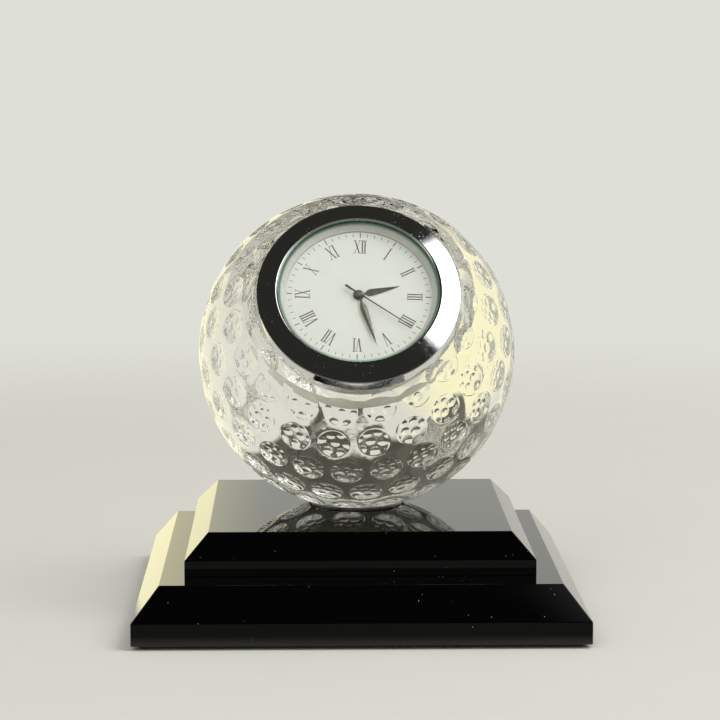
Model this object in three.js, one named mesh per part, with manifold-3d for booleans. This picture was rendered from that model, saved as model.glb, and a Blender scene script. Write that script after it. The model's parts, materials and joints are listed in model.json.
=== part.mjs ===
// Desk clock: an insert clock in a dimpled glass ball, on a base of two bevelled glass tiers.
// Millimetres, +Z up, the dial faces -Y. The origin is the middle of the base's underside.
import * as THREE from 'three';
import { ConvexGeometry } from 'three/addons/geometries/ConvexGeometry.js';
import { mergeVertices } from 'three/addons/utils/BufferGeometryUtils.js';
import Module from 'manifold-3d';

const wasm = await Module();
wasm.setup();

// Base
const padThickness = 0.8;
const padInset = 1.5; // from the lower tier's edge
const lowerSide = 81;
const lowerTopSide = 71.5;
const lowerBand = 4; // upright height below the bevel
const lowerBevel = 5.85; // height of the bevel
const upperSide = 63.1;
const upperTopSide = 54.8;
const upperBand = 2.9;
const upperBevel = 4.45;
const upperSetback = 2.9; // the upper tier's middle lies this far behind the lower one's
const ballSetback = 2.7; // the ball's middle lies this far behind the upper tier's
const glueThickness = 0.4;
const glueInset = 0.3; // from the ball's foot

// Glass ball
const ballDiameter = 60;
const footCut = 1.4; // depth ground off below the ball
const faceTilt = 35.3; // the face's normal above the horizon, degrees
const faceCut = 9; // depth ground off for the face
const boreDiameter = 35;
const boreDepth = 8.5;
const boreChamfer = 0.35;
const dimpleDiameter = 5.9;
const dimpleDepth = 0.5;
const dimpleSides = 8;
const dimplePitch = 14; // along a ring, degrees
const dimpleAxisTilt = 32; // the rings' axis above the horizon, degrees
const dimpleAxisSide = -6; // and to the side, degrees
const ringStep = 13.3; // between rings, degrees
const firstRing = 46.1; // nearest ring to the axis, degrees
const ringTurns = [-1.2, -4.4, 0.2, 6]; // how far the rings in front are turned, degrees

// Insert clock
const dialTurn = 2; // clockwise turn of the whole insert in its bore, degrees
const seatGap = 0.15; // between pieces that rest on each other
const fitGap = 0.15; // between a piece and the wall round it
const bezelCover = 1.9; // how far the bezel's foot covers the face round the bore
const bezelFlare = 0.75; // how far its side spreads from front edge to foot
const bezelSide = 1.6; // height of the flared side
const bezelRise = 1.2; // height of the cone in front of it
const bezelLip = 0.5; // thickness over the lens
const bezelRound = 0.12; // small chamfer along its edges
const lensCover = 0.75; // how far the lip covers the lens
const lensThickness = 0.85;
const lensBevel = 0.2;
const dialDepth = 2.6; // from the bezel's inner edge back to the dial
const dialThickness = 0.35;
const dialRingWidth = 1.85; // at its foot
const dialRingFlare = 0.85;
const dialRingStep = 0.2; // upright foot of its inner wall
const barrelGap = 0.4; // between barrel and bore
const barrelWall = 0.9;
const lensLedge = 0.3; // how far the lens stays inside the barrel's wall
const barrelDepth = 7.4;
const gripWidth = 1.3;
const gripThickness = 0.65;
const gripGap = 0.1; // between grip ring and bore
const gripBehind = 0.6; // wall left behind the grip ring's groove
const coverThickness = 0.8;
const coverRim = 1; // width of its rim
const coverRimHeight = 1.1;
const roundSteps = 44; // sides of the large round pieces
const discSteps = 32; // of the discs in the movement
const smallSteps = 20; // of the hubs
const tubeSteps = 16;
const rodSteps = 12;
const knurlSteps = 5;
const curveSegments = 5; // of each curve in a hand's outline
const cutPast = 1; // how far a cutter runs past the faces that it cuts

// Hands
const hourAngle = 74.5; // degrees clockwise from twelve
const minuteAngle = 161.5;
const secondAngle = 124;
const hourLength = 7.6;
const hourWidth = 1.35;
const minuteLength = 11;
const minuteWidth = 1.25;
const hourHub = 1.05; // radius
const minuteHub = 0.85;
const secondLength = 11.8;
const secondWidth = 0.25;
const secondTail = 3;
const tailWidth = 0.42;
const secondHub = 0.7;
const tailNeck = 0.8; // width of the tail at the hub, of its width at the end
const handNeck = 0.14; // half width of a leaf hand at its hub, of its whole width
const neckLength = 0.1;
const leafRise = 0.2; // where a leaf hand spreads, of its length
const leafWide = 0.29; // where it is widest
const leafBend = 0.4; // where its sides turn in to the point
const handFit = 0.03; // between a hand's hole and its tube
const handThickness = 0.15;
const handGap = 0.16; // between hands, and from the dial to the first

// Movement
const plateDiameter = 20;
const plateThickness = 0.8;
const motionSpace = 1.45; // between dial and main plate
const coverGap = 0.7; // between the bridge screws and the back cover
const endShake = 0.15; // between the outer wheels of the train and the plates
const bridgeThickness = 0.5;
const bridgeDiameter = 12.2;
const bridgeOffset = 0.5; // towards twelve
const boardThickness = 0.25;
const boardGap = 0.05; // between board and bridge
const boardInset = 0.35;
const arborRadius = 0.18;
const pivotGap = 0.06; // round an arbor in its hole
const cannonRadius = 0.48;
const cannonBore = 0.26;
const hourTubeRadius = 0.75;
const hourTubeBore = 0.57;
const wheelThickness = 0.28;
const pinionThickness = 0.42;
const toothTip = 0.85; // of the wheel's module
const toothRoot = 1.1;
const hourShake = 0.2; // between hour wheel and dial
const cannonShake = 0.3; // between minute wheel and main plate
const thirdDistance = 2.7; // from the centre to the third wheel
const thirdDirection = 150; // degrees from three o'clock, anticlockwise
const intermediateDistance = 2.64;
const intermediateDirection = 60;
const rotorDistance = 2.1; // from the intermediate wheel
const rotorDirection = 100;
const motionDistance = 2.6; // from the centre to the minute wheel
const motionDirection = -30;
const magnetRadius = 0.8;
const magnetLength = 0.8;
const magnetGap = 0.3; // between magnet and main plate
const secondTeeth = 40;
const secondPinion = 6;
const intermediateTeeth = 36;
const intermediatePinion = 8;
const rotorPinion = 6;
const thirdTeeth = 45;
const thirdPinion = 6;
const centreTeeth = 48;
const cannonTeeth = 10;
const minuteTeeth = 30;
const minutePinion = 8;
const hourTeeth = 32;
const cellThickness = 2.6;
const cellEdge = 0.6; // between the cell and the plate's edge
const cellGap = 0.3; // between the cell and the second wheel, the bridge and the plate
const cellStep = 0.4; // shoulder round the cell's cap
const coilRadius = 0.9;
const coilLength = 5.6;
const coilInset = 2.7; // from the plate's edge
const coilSide = -2.2; // towards nine
const coreWidth = 0.8;
const coreThickness = 0.5;
const coreEar = 1; // length of the core past the winding at each end
const coreFoot = 0.8; // of that length, what stands up to the stator
const coilDrop = 0.3; // below the stator's level
const statorThickness = 0.4;
const statorGap = 0.25; // round the magnet
const statorRim = 0.55; // round that gap
const statorNeck = 0.4; // how much narrower the yoke is beside the magnet
const statorArm = 0.9; // width of the arms to the core
const canRadius = 0.6;
const canLength = 4;
const canInset = 3.1; // from the plate's edge
const canRise = 1.6; // towards twelve
const postRadius = 0.7;
const postSink = 0.1; // how far the posts' tops lie in the main plate's top
const threadDepth = 0.4; // of the screw holes in the main plate
const threadRoom = 2; // of the screw holes behind the bridge
const postPlaces = [[-4.4, -2], [3.9, -1.9], [4.2, 3.6]];
const screwRadius = 0.4;
const screwHead = 0.8;
const headThickness = 0.38;
const screwSlot = 0.25;
const strapWidth = 2;
const strapThickness = 0.2;
const strapScrewGap = 1.8; // from the cell's edge
const strapDrop = 0.2; // below the cell's middle
const stemRadius = 0.45;
const stemRise = 0.2; // above the middle of the train's space
const stemInner = 4.6; // where the stem ends, from the centre
const crownRadius = 1.4;
const crownLength = 1.6;
const crownTravel = 0.7;
const crownSpare = 0.3; // left before the bore's wall when the crown is pulled
const crownKnurls = 12;
const knurlRadius = 0.16;
const crownRim = 0.3; // plain edge in front of the knurls
const grooveDepth = 0.15;
const grooveWidth = 0.5;
const groovePlace = 5.6; // from the centre
const leverWidth = 0.36;
const leverLength = 3;

// Sizes that follow from those above
const ballRadius = ballDiameter / 2;
const lowerTop = padThickness + lowerBand + lowerBevel;
const upperTop = lowerTop + upperBand + upperBevel;
const footRadius = Math.sqrt(ballRadius ** 2 - (ballRadius - footCut) ** 2);
const ballHeight = upperTop + glueThickness + ballRadius - footCut;
const ballBack = upperSetback + ballSetback;
const faceDistance = ballRadius - faceCut;
const boreRadius = boreDiameter / 2;
const barrelRadius = boreRadius - barrelGap;
const barrelBore = barrelRadius - barrelWall;
const lensRadius = barrelBore - lensLedge;
const lensSeat = lensRadius + fitGap;
const bezelFoot = boreRadius + bezelCover;
const bezelEdge = bezelFoot - bezelFlare;
const bezelOpening = lensRadius - lensCover;
const dialOpening = lensRadius - dialRingWidth;
const crownReach = boreRadius - crownTravel - crownSpare; // from the centre to the crown's outer face
const bezelFront = seatGap + bezelSide + bezelRise; // all heights in the insert start at the face flat
const lensTop = bezelFront - bezelLip;
const lensBottom = lensTop - lensThickness;
const dialTop = bezelFront - dialDepth;
const dialBottom = dialTop - dialThickness;
const plateTop = dialBottom - motionSpace;
const plateBottom = plateTop - plateThickness;
const coverInside = coverThickness - barrelDepth;
const boardBottom = coverInside + coverGap + headThickness + pivotGap;
const boardTop = boardBottom + boardThickness;
const bridgeBottom = boardTop + boardGap;
const bridgeTop = bridgeBottom + bridgeThickness;
const layerStep = (plateBottom - bridgeTop - 2 * endShake - wheelThickness) / 3; // four layers of wheels
const intermediateLayer = bridgeTop + endShake; // undersides of the wheels in the train
const secondLayer = intermediateLayer + layerStep;
const thirdLayer = secondLayer + layerStep;
const centreLayer = thirdLayer + layerStep;
const pinionOver = (pinionThickness - wheelThickness) / 2; // of a pinion past the wheel that it drives
const cannonLayer = plateTop + cannonShake;
const hourLayer = dialBottom - hourShake - wheelThickness;
const stemLayer = (plateBottom + bridgeTop) / 2 + stemRise;
const statorTop = plateBottom - 2 * pivotGap;
const statorBottom = statorTop - statorThickness;
const coilLayer = plateBottom - seatGap - coilDrop - coilRadius; // the coil's middle
const coreEnd = coilLength / 2 + coreEar;
const cellTop = plateBottom - cellGap;
const strapTop = cellTop - cellThickness - pivotGap;
const strapBottom = strapTop - strapThickness;
const hourHandLevel = dialTop + handGap;
const minuteHandLevel = hourHandLevel + handThickness + handGap;
const secondHandLevel = minuteHandLevel + handThickness + handGap;

const degrees = (a) => a * Math.PI / 180;
const polar = (distance, direction, from = [0, 0]) => [
  from[0] + distance * Math.cos(degrees(direction)),
  from[1] + distance * Math.sin(degrees(direction)),
];
const centre = [0, 0];
const thirdPlace = polar(thirdDistance, thirdDirection);
const intermediatePlace = polar(intermediateDistance, intermediateDirection);
const rotorPlace = polar(rotorDistance, rotorDirection, intermediatePlace);
const motionPlace = polar(motionDistance, motionDirection);
const moduleFor = (distance, a, b) => 2 * distance / (a + b);
const secondModule = moduleFor(intermediateDistance, secondTeeth, intermediatePinion);
const secondReach = secondModule * (secondTeeth / 2 + toothTip);
const cellRadius = (plateDiameter / 2 - cellEdge - secondReach - cellGap) / 2;
const cellPlace = [0, cellEdge + cellRadius - plateDiameter / 2];
const coilPlace = [coilSide, plateDiameter / 2 - coilInset];
const canPlace = [canInset - plateDiameter / 2, canRise];
const strapScrewPlace = [cellRadius + strapScrewGap, cellPlace[1] - strapDrop];

// Colours and finishes
const finish = (color, roughness, metalness, extra = {}) =>
  new THREE.MeshStandardMaterial({ color, roughness, metalness, ...extra });
const blackGlass = finish(0x08080a, 0.05, 0);
const clearGlass = finish(0xe8eeea, 0.03, 0, { transparent: true, opacity: 0.35 });
const clearGlue = finish(0xd8dcd6, 0.2, 0, { transparent: true, opacity: 0.5 });
const chrome = finish(0xc8cac8, 0.08, 1);
const brass = finish(0xc9a65a, 0.3, 1);
const steel = finish(0xa8abad, 0.3, 1);
const handMetal = finish(0x3f4135, 0.35, 0.7);
const dialSilver = finish(0xdcddd5, 0.6, 0);
const ringGrey = finish(0x9a9c97, 0.5, 0);
const blackPlastic = finish(0x1d1d1f, 0.5, 0);
const whitePlastic = finish(0xe4e2da, 0.5, 0);
const rubber = finish(0x161616, 0.9, 0);
const felt = finish(0x202422, 1, 0);
const boardGreen = finish(0x24523a, 0.5, 0);
const copper = finish(0xb06a3a, 0.4, 1);

const mergeDistance = 1e-4;

// Closed geometry to solid, and back
function solid(geometry) {
  const plain = geometry.index ? geometry.toNonIndexed() : geometry.clone();
  for (const name of Object.keys(plain.attributes)) if (name !== 'position') plain.deleteAttribute(name);
  const merged = mergeVertices(plain, mergeDistance);
  const index = [];
  for (let i = 0; i < merged.index.count; i += 3) {
    const [a, b, c] = [0, 1, 2].map((k) => merged.index.getX(i + k));
    if (a !== b && b !== c && c !== a) index.push(a, b, c);
  }
  return new wasm.Manifold(new wasm.Mesh({
    numProp: 3,
    vertProperties: new Float32Array(merged.attributes.position.array),
    triVerts: new Uint32Array(index),
  }));
}

function geometryOf(body) {
  const mesh = body.getMesh();
  const geometry = new THREE.BufferGeometry();
  geometry.setAttribute('position', new THREE.BufferAttribute(new Float32Array(mesh.vertProperties), 3));
  geometry.setIndex(new THREE.BufferAttribute(new Uint32Array(mesh.triVerts), 1));
  return geometry;
}

const join = (first, ...rest) => rest.reduce((a, b) => a.add(b), first);
const cut = (first, ...rest) => rest.reduce((a, b) => a.subtract(b), first);

// A turned piece about Z. The profile is a list of [radius, height].
function turned(profile, steps = roundSteps) {
  const points = profile.map(([r, z]) => new THREE.Vector2(r, z));
  if (profile[0][0] > 0) points.push(points[0].clone()); // a ring closes on itself
  const geometry = new THREE.LatheGeometry(points, steps);
  geometry.rotateX(Math.PI / 2);
  return orient(geometry);
}

// Turns the faces out when a profile was listed the other way round
function orient(geometry) {
  const body = solid(geometry);
  if (body.volume() > 0) return body;
  const flipped = geometry.clone();
  const index = Array.from(geometry.index.array);
  for (let i = 0; i < index.length; i += 3) [index[i], index[i + 1]] = [index[i + 1], index[i]];
  flipped.setIndex(index);
  return solid(flipped);
}

// A round rod or disc between two heights
function disc(radius, low, high, place = centre, steps = smallSteps) {
  const geometry = new THREE.CylinderGeometry(radius, radius, high - low, steps);
  geometry.rotateX(Math.PI / 2);
  geometry.translate(place[0], place[1], (low + high) / 2);
  return solid(geometry);
}

function block(x, y, low, high, place = centre) {
  const geometry = new THREE.BoxGeometry(x, y, high - low);
  geometry.translate(place[0], place[1], (low + high) / 2);
  return solid(geometry);
}

// An outline pushed up between two heights
function plate(points, low, high) {
  const shape = new THREE.Shape(points.map(([x, y]) => new THREE.Vector2(x, y)));
  const geometry = new THREE.ExtrudeGeometry(shape, { depth: high - low, bevelEnabled: false });
  geometry.translate(0, 0, low);
  return solid(geometry);
}

// A rod along X, for the stem, the crown, the coil and the crystal can
function rodAlongX(radius, from, to, place, steps = rodSteps) {
  const geometry = new THREE.CylinderGeometry(radius, radius, to - from, steps);
  geometry.rotateZ(Math.PI / 2);
  geometry.translate((from + to) / 2, place[0], place[1]);
  return solid(geometry);
}

function named(name, body, material) {
  const mesh = new THREE.Mesh(geometryOf(body), material);
  mesh.name = name;
  return mesh;
}

// Base: a tier is a four-sided turned form, upright below and sloping above
function tier(side, topSide, band, bevel, low) {
  const corner = Math.SQRT1_2;
  const points = [[0, 0], [side, 0], [side, band], [topSide, band + bevel], [0, band + bevel]]
    .map(([width, z]) => new THREE.Vector2(width * corner, low + z));
  const geometry = new THREE.LatheGeometry(points, 4, Math.PI / 4);
  geometry.rotateX(Math.PI / 2);
  return orient(geometry);
}

function addBase(clock) {
  const padSide = lowerSide - 2 * padInset;
  clock.add(named('base_pad', block(padSide, padSide, 0, padThickness), felt));
  const lower = tier(lowerSide, lowerTopSide, lowerBand, lowerBevel, padThickness);
  clock.add(named('lower_tier', lower, blackGlass));
  const upper = tier(upperSide, upperTopSide, upperBand, upperBevel, lowerTop);
  const upperMesh = named('upper_tier', upper, blackGlass);
  upperMesh.position.y = upperSetback;
  clock.add(upperMesh);
  const glue = disc(footRadius - glueInset, upperTop, upperTop + glueThickness, [0, ballBack], roundSteps);
  clock.add(named('ball_adhesive', glue, clearGlue));
}

// Middles of the dimples: rings about one axis, as directions from the ball's middle
function dimpleDirections() {
  const tilt = degrees(dimpleAxisTilt);
  const side = degrees(dimpleAxisSide);
  const axis = new THREE.Vector3(
    Math.sin(side) * Math.cos(tilt), -Math.cos(side) * Math.cos(tilt), Math.sin(tilt));
  const across = new THREE.Vector3(0, 0, 1).cross(axis).normalize();
  const down = across.clone().cross(axis);
  const directions = [];
  let turn = 0;
  for (let ring = 0, angle = firstRing; angle < 180 - ringStep / 2; ring += 1, angle += ringStep) {
    const count = Math.round(360 * Math.sin(degrees(angle)) / dimplePitch);
    turn = ring < ringTurns.length ? ringTurns[ring] : turn + 180 / count;
    for (let i = 0; i < count; i += 1) {
      const around = degrees(turn + 360 * i / count);
      const outward = down.clone().multiplyScalar(Math.cos(around));
      outward.addScaledVector(across, Math.sin(around));
      const direction = axis.clone().multiplyScalar(Math.cos(degrees(angle)));
      directions.push(direction.addScaledVector(outward, Math.sin(degrees(angle))));
    }
  }
  directions.push(axis.clone().negate());
  return directions;
}

// The sphere's points: each dimple's rim and middle. Their hull is faceted, then the middles are sunk.
function dimpledSphere() {
  const middles = dimpleDirections();
  const spread = Math.asin(dimpleDiameter / 2 / ballRadius);
  const points = [];
  for (const middle of middles) {
    const across = new THREE.Vector3(0, 0, 1).cross(middle).normalize();
    const along = middle.clone().cross(across);
    points.push(middle.clone().multiplyScalar(ballRadius));
    for (let k = 0; k < dimpleSides; k += 1) {
      const around = 2 * Math.PI * k / dimpleSides;
      const rim = across.clone().multiplyScalar(Math.cos(around)).addScaledVector(along, Math.sin(around));
      const point = middle.clone().multiplyScalar(Math.cos(spread)).addScaledVector(rim, Math.sin(spread));
      points.push(point.multiplyScalar(ballRadius));
    }
  }
  const geometry = new ConvexGeometry(points);
  const place = geometry.attributes.position;
  const sunk = ballRadius * Math.cos(spread) - dimpleDepth;
  const atMiddle = Math.cos(spread / 2);
  const direction = new THREE.Vector3();
  for (let i = 0; i < place.count; i += 1) {
    direction.fromBufferAttribute(place, i).normalize();
    if (middles.some((middle) => middle.dot(direction) > atMiddle)) {
      direction.multiplyScalar(sunk);
      place.setXYZ(i, direction.x, direction.y, direction.z);
    }
  }
  return solid(geometry);
}

// The insert's own frame: Z out of the face, Y towards twelve before the dial's turn
function faceMatrix() {
  const turn = new THREE.Matrix4().makeRotationX(degrees(90 - faceTilt));
  const out = new THREE.Vector3(0, 0, faceDistance).applyMatrix4(turn);
  return turn.setPosition(out);
}

function glassBall() {
  const cutter = turned([
    [0, -boreDepth], [boreRadius, -boreDepth], [boreRadius, -boreChamfer],
    [boreRadius + boreChamfer, 0], [ballDiameter, 0], [ballDiameter, ballRadius], [0, ballRadius],
  ]);
  const faceCutter = geometryOf(cutter).applyMatrix4(faceMatrix());
  const footCutter = block(ballDiameter, ballDiameter, -ballDiameter, footCut - ballRadius);
  return cut(dimpledSphere(), solid(faceCutter), footCutter);
}

function addBall(clock) {
  const ball = named('glass_ball', glassBall(), clearGlass);
  ball.position.set(0, ballBack, ballHeight);
  clock.add(ball);
}

// Bezel: flared side, thin edge, cone up to the opening, lip over the lens
function bezel() {
  const side = seatGap + bezelSide;
  return turned([
    [lensSeat, seatGap], [bezelFoot, seatGap], [bezelEdge, side - bezelRound],
    [bezelEdge - bezelRound, side], [bezelOpening + bezelRound, bezelFront],
    [bezelOpening, bezelFront - bezelRound], [bezelOpening, lensTop + seatGap],
    [lensSeat, lensTop + seatGap],
  ]);
}

function lens() {
  return turned([
    [0, lensBottom], [lensRadius, lensBottom], [lensRadius, lensTop - lensBevel],
    [lensRadius - lensBevel, lensTop], [0, lensTop],
  ]);
}

function dialRing() {
  const low = dialTop + seatGap / 2;
  const high = lensBottom - seatGap / 2;
  return turned([
    [dialOpening, low], [lensRadius, low], [lensRadius, high],
    [dialOpening + dialRingFlare, high], [dialOpening, low + dialRingStep],
  ]);
}

function dial() {
  const hole = disc(hourTubeRadius + fitGap, dialBottom - cutPast, dialTop + cutPast);
  return cut(disc(lensRadius, dialBottom, dialTop, centre, roundSteps), hole);
}

// Case barrel: a tube with a groove for the grip ring and a window for the crown
function caseBarrel() {
  const grooveLow = -barrelDepth + gripBehind;
  const grooveHigh = grooveLow + gripWidth + 2 * fitGap;
  const grooveRadius = boreRadius - gripGap - gripThickness - fitGap;
  const tube = turned([
    [barrelBore, -barrelDepth], [barrelRadius, -barrelDepth], [barrelRadius, grooveLow],
    [grooveRadius, grooveLow], [grooveRadius, grooveHigh], [barrelRadius, grooveHigh],
    [barrelRadius, 0], [barrelBore, 0],
  ]);
  const reach = 2 * (crownRadius + fitGap);
  const window = block(crownReach, reach, stemLayer - reach / 2, stemLayer + reach / 2, [crownReach, 0]);
  return cut(tube, window);
}

function gripRing() {
  const outer = boreRadius - gripGap;
  const low = -barrelDepth + gripBehind + fitGap;
  const edge = gripThickness / 3;
  return turned([
    [outer - gripThickness, low], [outer - edge, low], [outer, low + edge],
    [outer, low + gripWidth - edge], [outer - edge, low + gripWidth],
    [outer - gripThickness, low + gripWidth],
  ]);
}

function backCover() {
  const radius = barrelBore - fitGap;
  const rim = coverInside + coverRimHeight;
  return turned([
    [0, -barrelDepth], [radius, -barrelDepth], [radius, rim], [radius - coverRim, rim],
    [radius - coverRim, coverInside], [0, coverInside],
  ]);
}

// Holder ring between the movement and the barrel, with a slot for the stem
function movementHolder() {
  const low = coverInside + coverRimHeight + seatGap;
  const high = dialBottom - seatGap;
  const ring = cut(
    disc(lensRadius, low, high, centre, roundSteps),
    disc(plateDiameter / 2 + fitGap, low - cutPast, high + cutPast, centre, roundSteps));
  const across = stemRadius + fitGap;
  const stemSlot = block(boreRadius, 2 * across, low - cutPast, stemLayer + across, [boreRadius, 0]);
  const reach = crownRadius + fitGap;
  const roomPlace = [crownReach - crownLength - fitGap + boreRadius / 2, 0];
  const crownRoom = block(boreRadius, 2 * reach, low - cutPast, stemLayer + reach, roomPlace);
  return cut(ring, stemSlot, crownRoom);
}

// A wheel's outline: pointed teeth of the given module
function toothed(teeth, module, low, high, place, turn) {
  const radius = teeth * module / 2;
  const points = [];
  for (let i = 0; i < 2 * teeth; i += 1) {
    const r = i % 2 ? radius - toothRoot * module : radius + toothTip * module;
    const a = turn + Math.PI * i / teeth;
    points.push([place[0] + r * Math.cos(a), place[1] + r * Math.sin(a)]);
  }
  return plate(points, low, high);
}

// The turn that puts a gap of the driven wheel over a tooth of the driver
function meshTurn(driverTeeth, driverTurn, driverPlace, teeth, place) {
  const line = Math.atan2(place[1] - driverPlace[1], place[0] - driverPlace[0]);
  const pitches = (driverTurn - line) * driverTeeth / (2 * Math.PI);
  return line + Math.PI + (0.5 - (pitches - Math.floor(pitches))) * 2 * Math.PI / teeth;
}

const arbor = (place, low, high) => disc(arborRadius, low, high, place, rodSteps);

function addTrain(parts) {
  const centreModule = moduleFor(thirdDistance, centreTeeth, thirdPinion);
  const thirdModule = moduleFor(thirdDistance, thirdTeeth, secondPinion);
  const rotorModule = moduleFor(rotorDistance, intermediateTeeth, rotorPinion);
  const motionModule = moduleFor(motionDistance, cannonTeeth, minuteTeeth);
  const hourModule = moduleFor(motionDistance, minutePinion, hourTeeth);
  const wheel = (teeth, module, layer, place, turn = 0) =>
    toothed(teeth, module, layer, layer + wheelThickness, place, turn);
  const pinion = (teeth, module, layer, place, turn = 0) =>
    toothed(teeth, module, layer - pinionOver, layer + wheelThickness + pinionOver, place, turn);
  const lowPivot = bridgeBottom + pivotGap;
  const highPivot = plateBottom + plateThickness / 2;

  // Second wheel: its arbor goes through the cannon pinion to the second hand
  parts.second_wheel = [join(
    arbor(centre, bridgeTop + pivotGap, secondHandLevel + handThickness),
    wheel(secondTeeth, secondModule, secondLayer, centre),
    pinion(secondPinion, thirdModule, thirdLayer, centre)), brass];

  // Third wheel, driven by the seconds pinion, drives the centre wheel
  parts.third_wheel = [join(
    arbor(thirdPlace, lowPivot, highPivot),
    wheel(thirdTeeth, thirdModule, thirdLayer, thirdPlace,
      meshTurn(secondPinion, 0, centre, thirdTeeth, thirdPlace)),
    pinion(thirdPinion, centreModule, centreLayer, thirdPlace)), brass];

  // Centre wheel with its tube and the cannon pinion's teeth on the dial side
  parts.centre_wheel = [cut(
    join(
      disc(cannonRadius, centreLayer, minuteHandLevel + handThickness, centre, tubeSteps),
      wheel(centreTeeth, centreModule, centreLayer, centre,
        meshTurn(thirdPinion, 0, thirdPlace, centreTeeth, centre)),
      pinion(cannonTeeth, motionModule, cannonLayer, centre)),
    disc(cannonBore, centreLayer - cutPast, minuteHandLevel + cutPast, centre, rodSteps)), brass];

  // Intermediate wheel and rotor
  parts.intermediate_wheel = [join(
    arbor(intermediatePlace, lowPivot, highPivot),
    wheel(intermediateTeeth, rotorModule, intermediateLayer, intermediatePlace),
    pinion(intermediatePinion, secondModule, secondLayer, intermediatePlace,
      meshTurn(secondTeeth, 0, centre, intermediatePinion, intermediatePlace))), whitePlastic];
  const magnetTop = plateBottom - magnetGap;
  parts.rotor = [join(
    arbor(rotorPlace, lowPivot, highPivot),
    pinion(rotorPinion, rotorModule, intermediateLayer, rotorPlace,
      meshTurn(intermediateTeeth, 0, intermediatePlace, rotorPinion, rotorPlace)),
    disc(magnetRadius, magnetTop - magnetLength, magnetTop, rotorPlace, tubeSteps)), steel];

  // Motion work between the dial and the main plate
  parts.minute_wheel = [join(
    arbor(motionPlace, plateTop - plateThickness / 2, hourLayer - pinionOver),
    wheel(minuteTeeth, motionModule, cannonLayer, motionPlace,
      meshTurn(cannonTeeth, 0, centre, minuteTeeth, motionPlace)),
    toothed(minutePinion, hourModule, cannonLayer + wheelThickness / 2,
      hourLayer + wheelThickness + pinionOver, motionPlace, 0)), brass];
  parts.hour_wheel = [cut(
    join(
      disc(hourTubeRadius, hourLayer, hourHandLevel + handThickness, centre, tubeSteps),
      wheel(hourTeeth, hourModule, hourLayer, centre,
        meshTurn(minutePinion, 0, motionPlace, hourTeeth, centre))),
    disc(hourTubeBore, hourLayer - cutPast, hourHandLevel + cutPast, centre, tubeSteps)), brass];
}

const trainPivots = [thirdPlace, intermediatePlace, rotorPlace];
const holes = (radius, low, high, places) => places.map((place) => disc(radius, low, high, place, rodSteps));

// Main plate with posts for the bridge and the strap, and blind pivot holes
function mainPlate() {
  const middle = plateBottom + plateThickness / 2;
  const posts = [
    ...holes(postRadius, bridgeTop + pivotGap, plateTop - postSink, postPlaces),
    ...holes(postRadius, strapTop + pivotGap, plateTop - postSink, [strapScrewPlace]),
  ];
  const body = join(disc(plateDiameter / 2, plateBottom, plateTop, centre, roundSteps), ...posts);
  return cut(body,
    ...holes(screwRadius + pivotGap, bridgeBottom - threadRoom, plateBottom + threadDepth,
      [...postPlaces, strapScrewPlace]),
    disc(cannonRadius + 2 * pivotGap, plateBottom - cutPast, plateTop + cutPast, centre, tubeSteps),
    ...holes(arborRadius + pivotGap, plateBottom - cutPast, middle + pivotGap, trainPivots),
    ...holes(arborRadius + pivotGap, middle - pivotGap, plateTop + cutPast, [motionPlace]));
}

// Bridge and board are discs with room for the cell and holes for the screws
function discBehind(radius, low, high) {
  return cut(disc(radius, low, high, [0, bridgeOffset], discSteps),
    disc(cellRadius + cellGap, low - cutPast, high + cutPast, cellPlace, discSteps),
    ...holes(screwRadius + pivotGap, low - cutPast, high + cutPast, postPlaces));
}

function trainBridge() {
  return cut(discBehind(bridgeDiameter / 2, bridgeBottom, bridgeTop),
    ...holes(arborRadius + pivotGap, bridgeBottom - cutPast, bridgeTop + cutPast, trainPivots));
}

const circuitBoard = () => discBehind(bridgeDiameter / 2 - boardInset + postRadius, boardBottom, boardTop);

// A slotted screw whose head's underside is at the given height
function screw(place, under, end) {
  const middle = under - headThickness / 2;
  const head = disc(screwHead, under - headThickness, under, place, rodSteps);
  const slot = block(2 * (screwHead + cutPast), screwSlot, under - headThickness - cutPast, middle, place);
  return cut(join(head, disc(screwRadius, middle, end, place, rodSteps)), slot);
}

function buttonCell() {
  const low = cellTop - cellThickness;
  const cap = disc(cellRadius - cellStep, low, cellTop, cellPlace, discSteps);
  return join(cap, disc(cellRadius, low, cellTop - cellStep, cellPlace, discSteps));
}

function batteryStrap() {
  const length = strapScrewPlace[0] - cellPlace[0] + strapWidth;
  const middle = [(strapScrewPlace[0] + cellPlace[0]) / 2, strapScrewPlace[1]];
  const bar = block(length, strapWidth, strapBottom, strapTop, middle);
  return cut(bar,
    ...holes(screwRadius + pivotGap, strapBottom - cutPast, strapTop + cutPast, [strapScrewPlace]));
}

// Stator: a flat yoke with a hole round the magnet and two arms to the coil's core
function stator() {
  const [cx, cy] = coilPlace;
  const [rx, ry] = rotorPlace;
  const top = cy + coreWidth / 2;
  const hole = magnetRadius + statorGap;
  const yoke = hole + statorRim;
  const body = plate([
    [cx - coreEnd, top], [cx - coreEnd, ry], [rx - yoke, ry], [rx - yoke, ry - yoke + statorNeck],
    [rx + yoke, ry - yoke + statorNeck], [rx + yoke, ry + yoke], [cx + coreEnd, ry + yoke],
    [cx + coreEnd, top], [cx + coreEnd - statorArm, top], [cx + coreEnd - statorArm, ry + yoke - statorNeck],
    [cx - coreEnd + statorArm, ry + yoke - statorNeck], [cx - coreEnd + statorArm, top],
  ], statorBottom, statorTop);
  return cut(body, disc(hole, statorBottom - cutPast, statorTop + cutPast, rotorPlace));
}

function coilCore() {
  const [cx, cy] = coilPlace;
  const half = coreThickness / 2;
  const bar = block(2 * coreEnd, coreWidth, coilLayer - half, coilLayer + half, coilPlace);
  const foot = coreEar * coreFoot;
  const feet = [-1, 1].map((side) =>
    block(foot, coreWidth, coilLayer, statorBottom - pivotGap, [cx + side * (coreEnd - foot / 2), cy]));
  return join(bar, ...feet);
}

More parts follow.
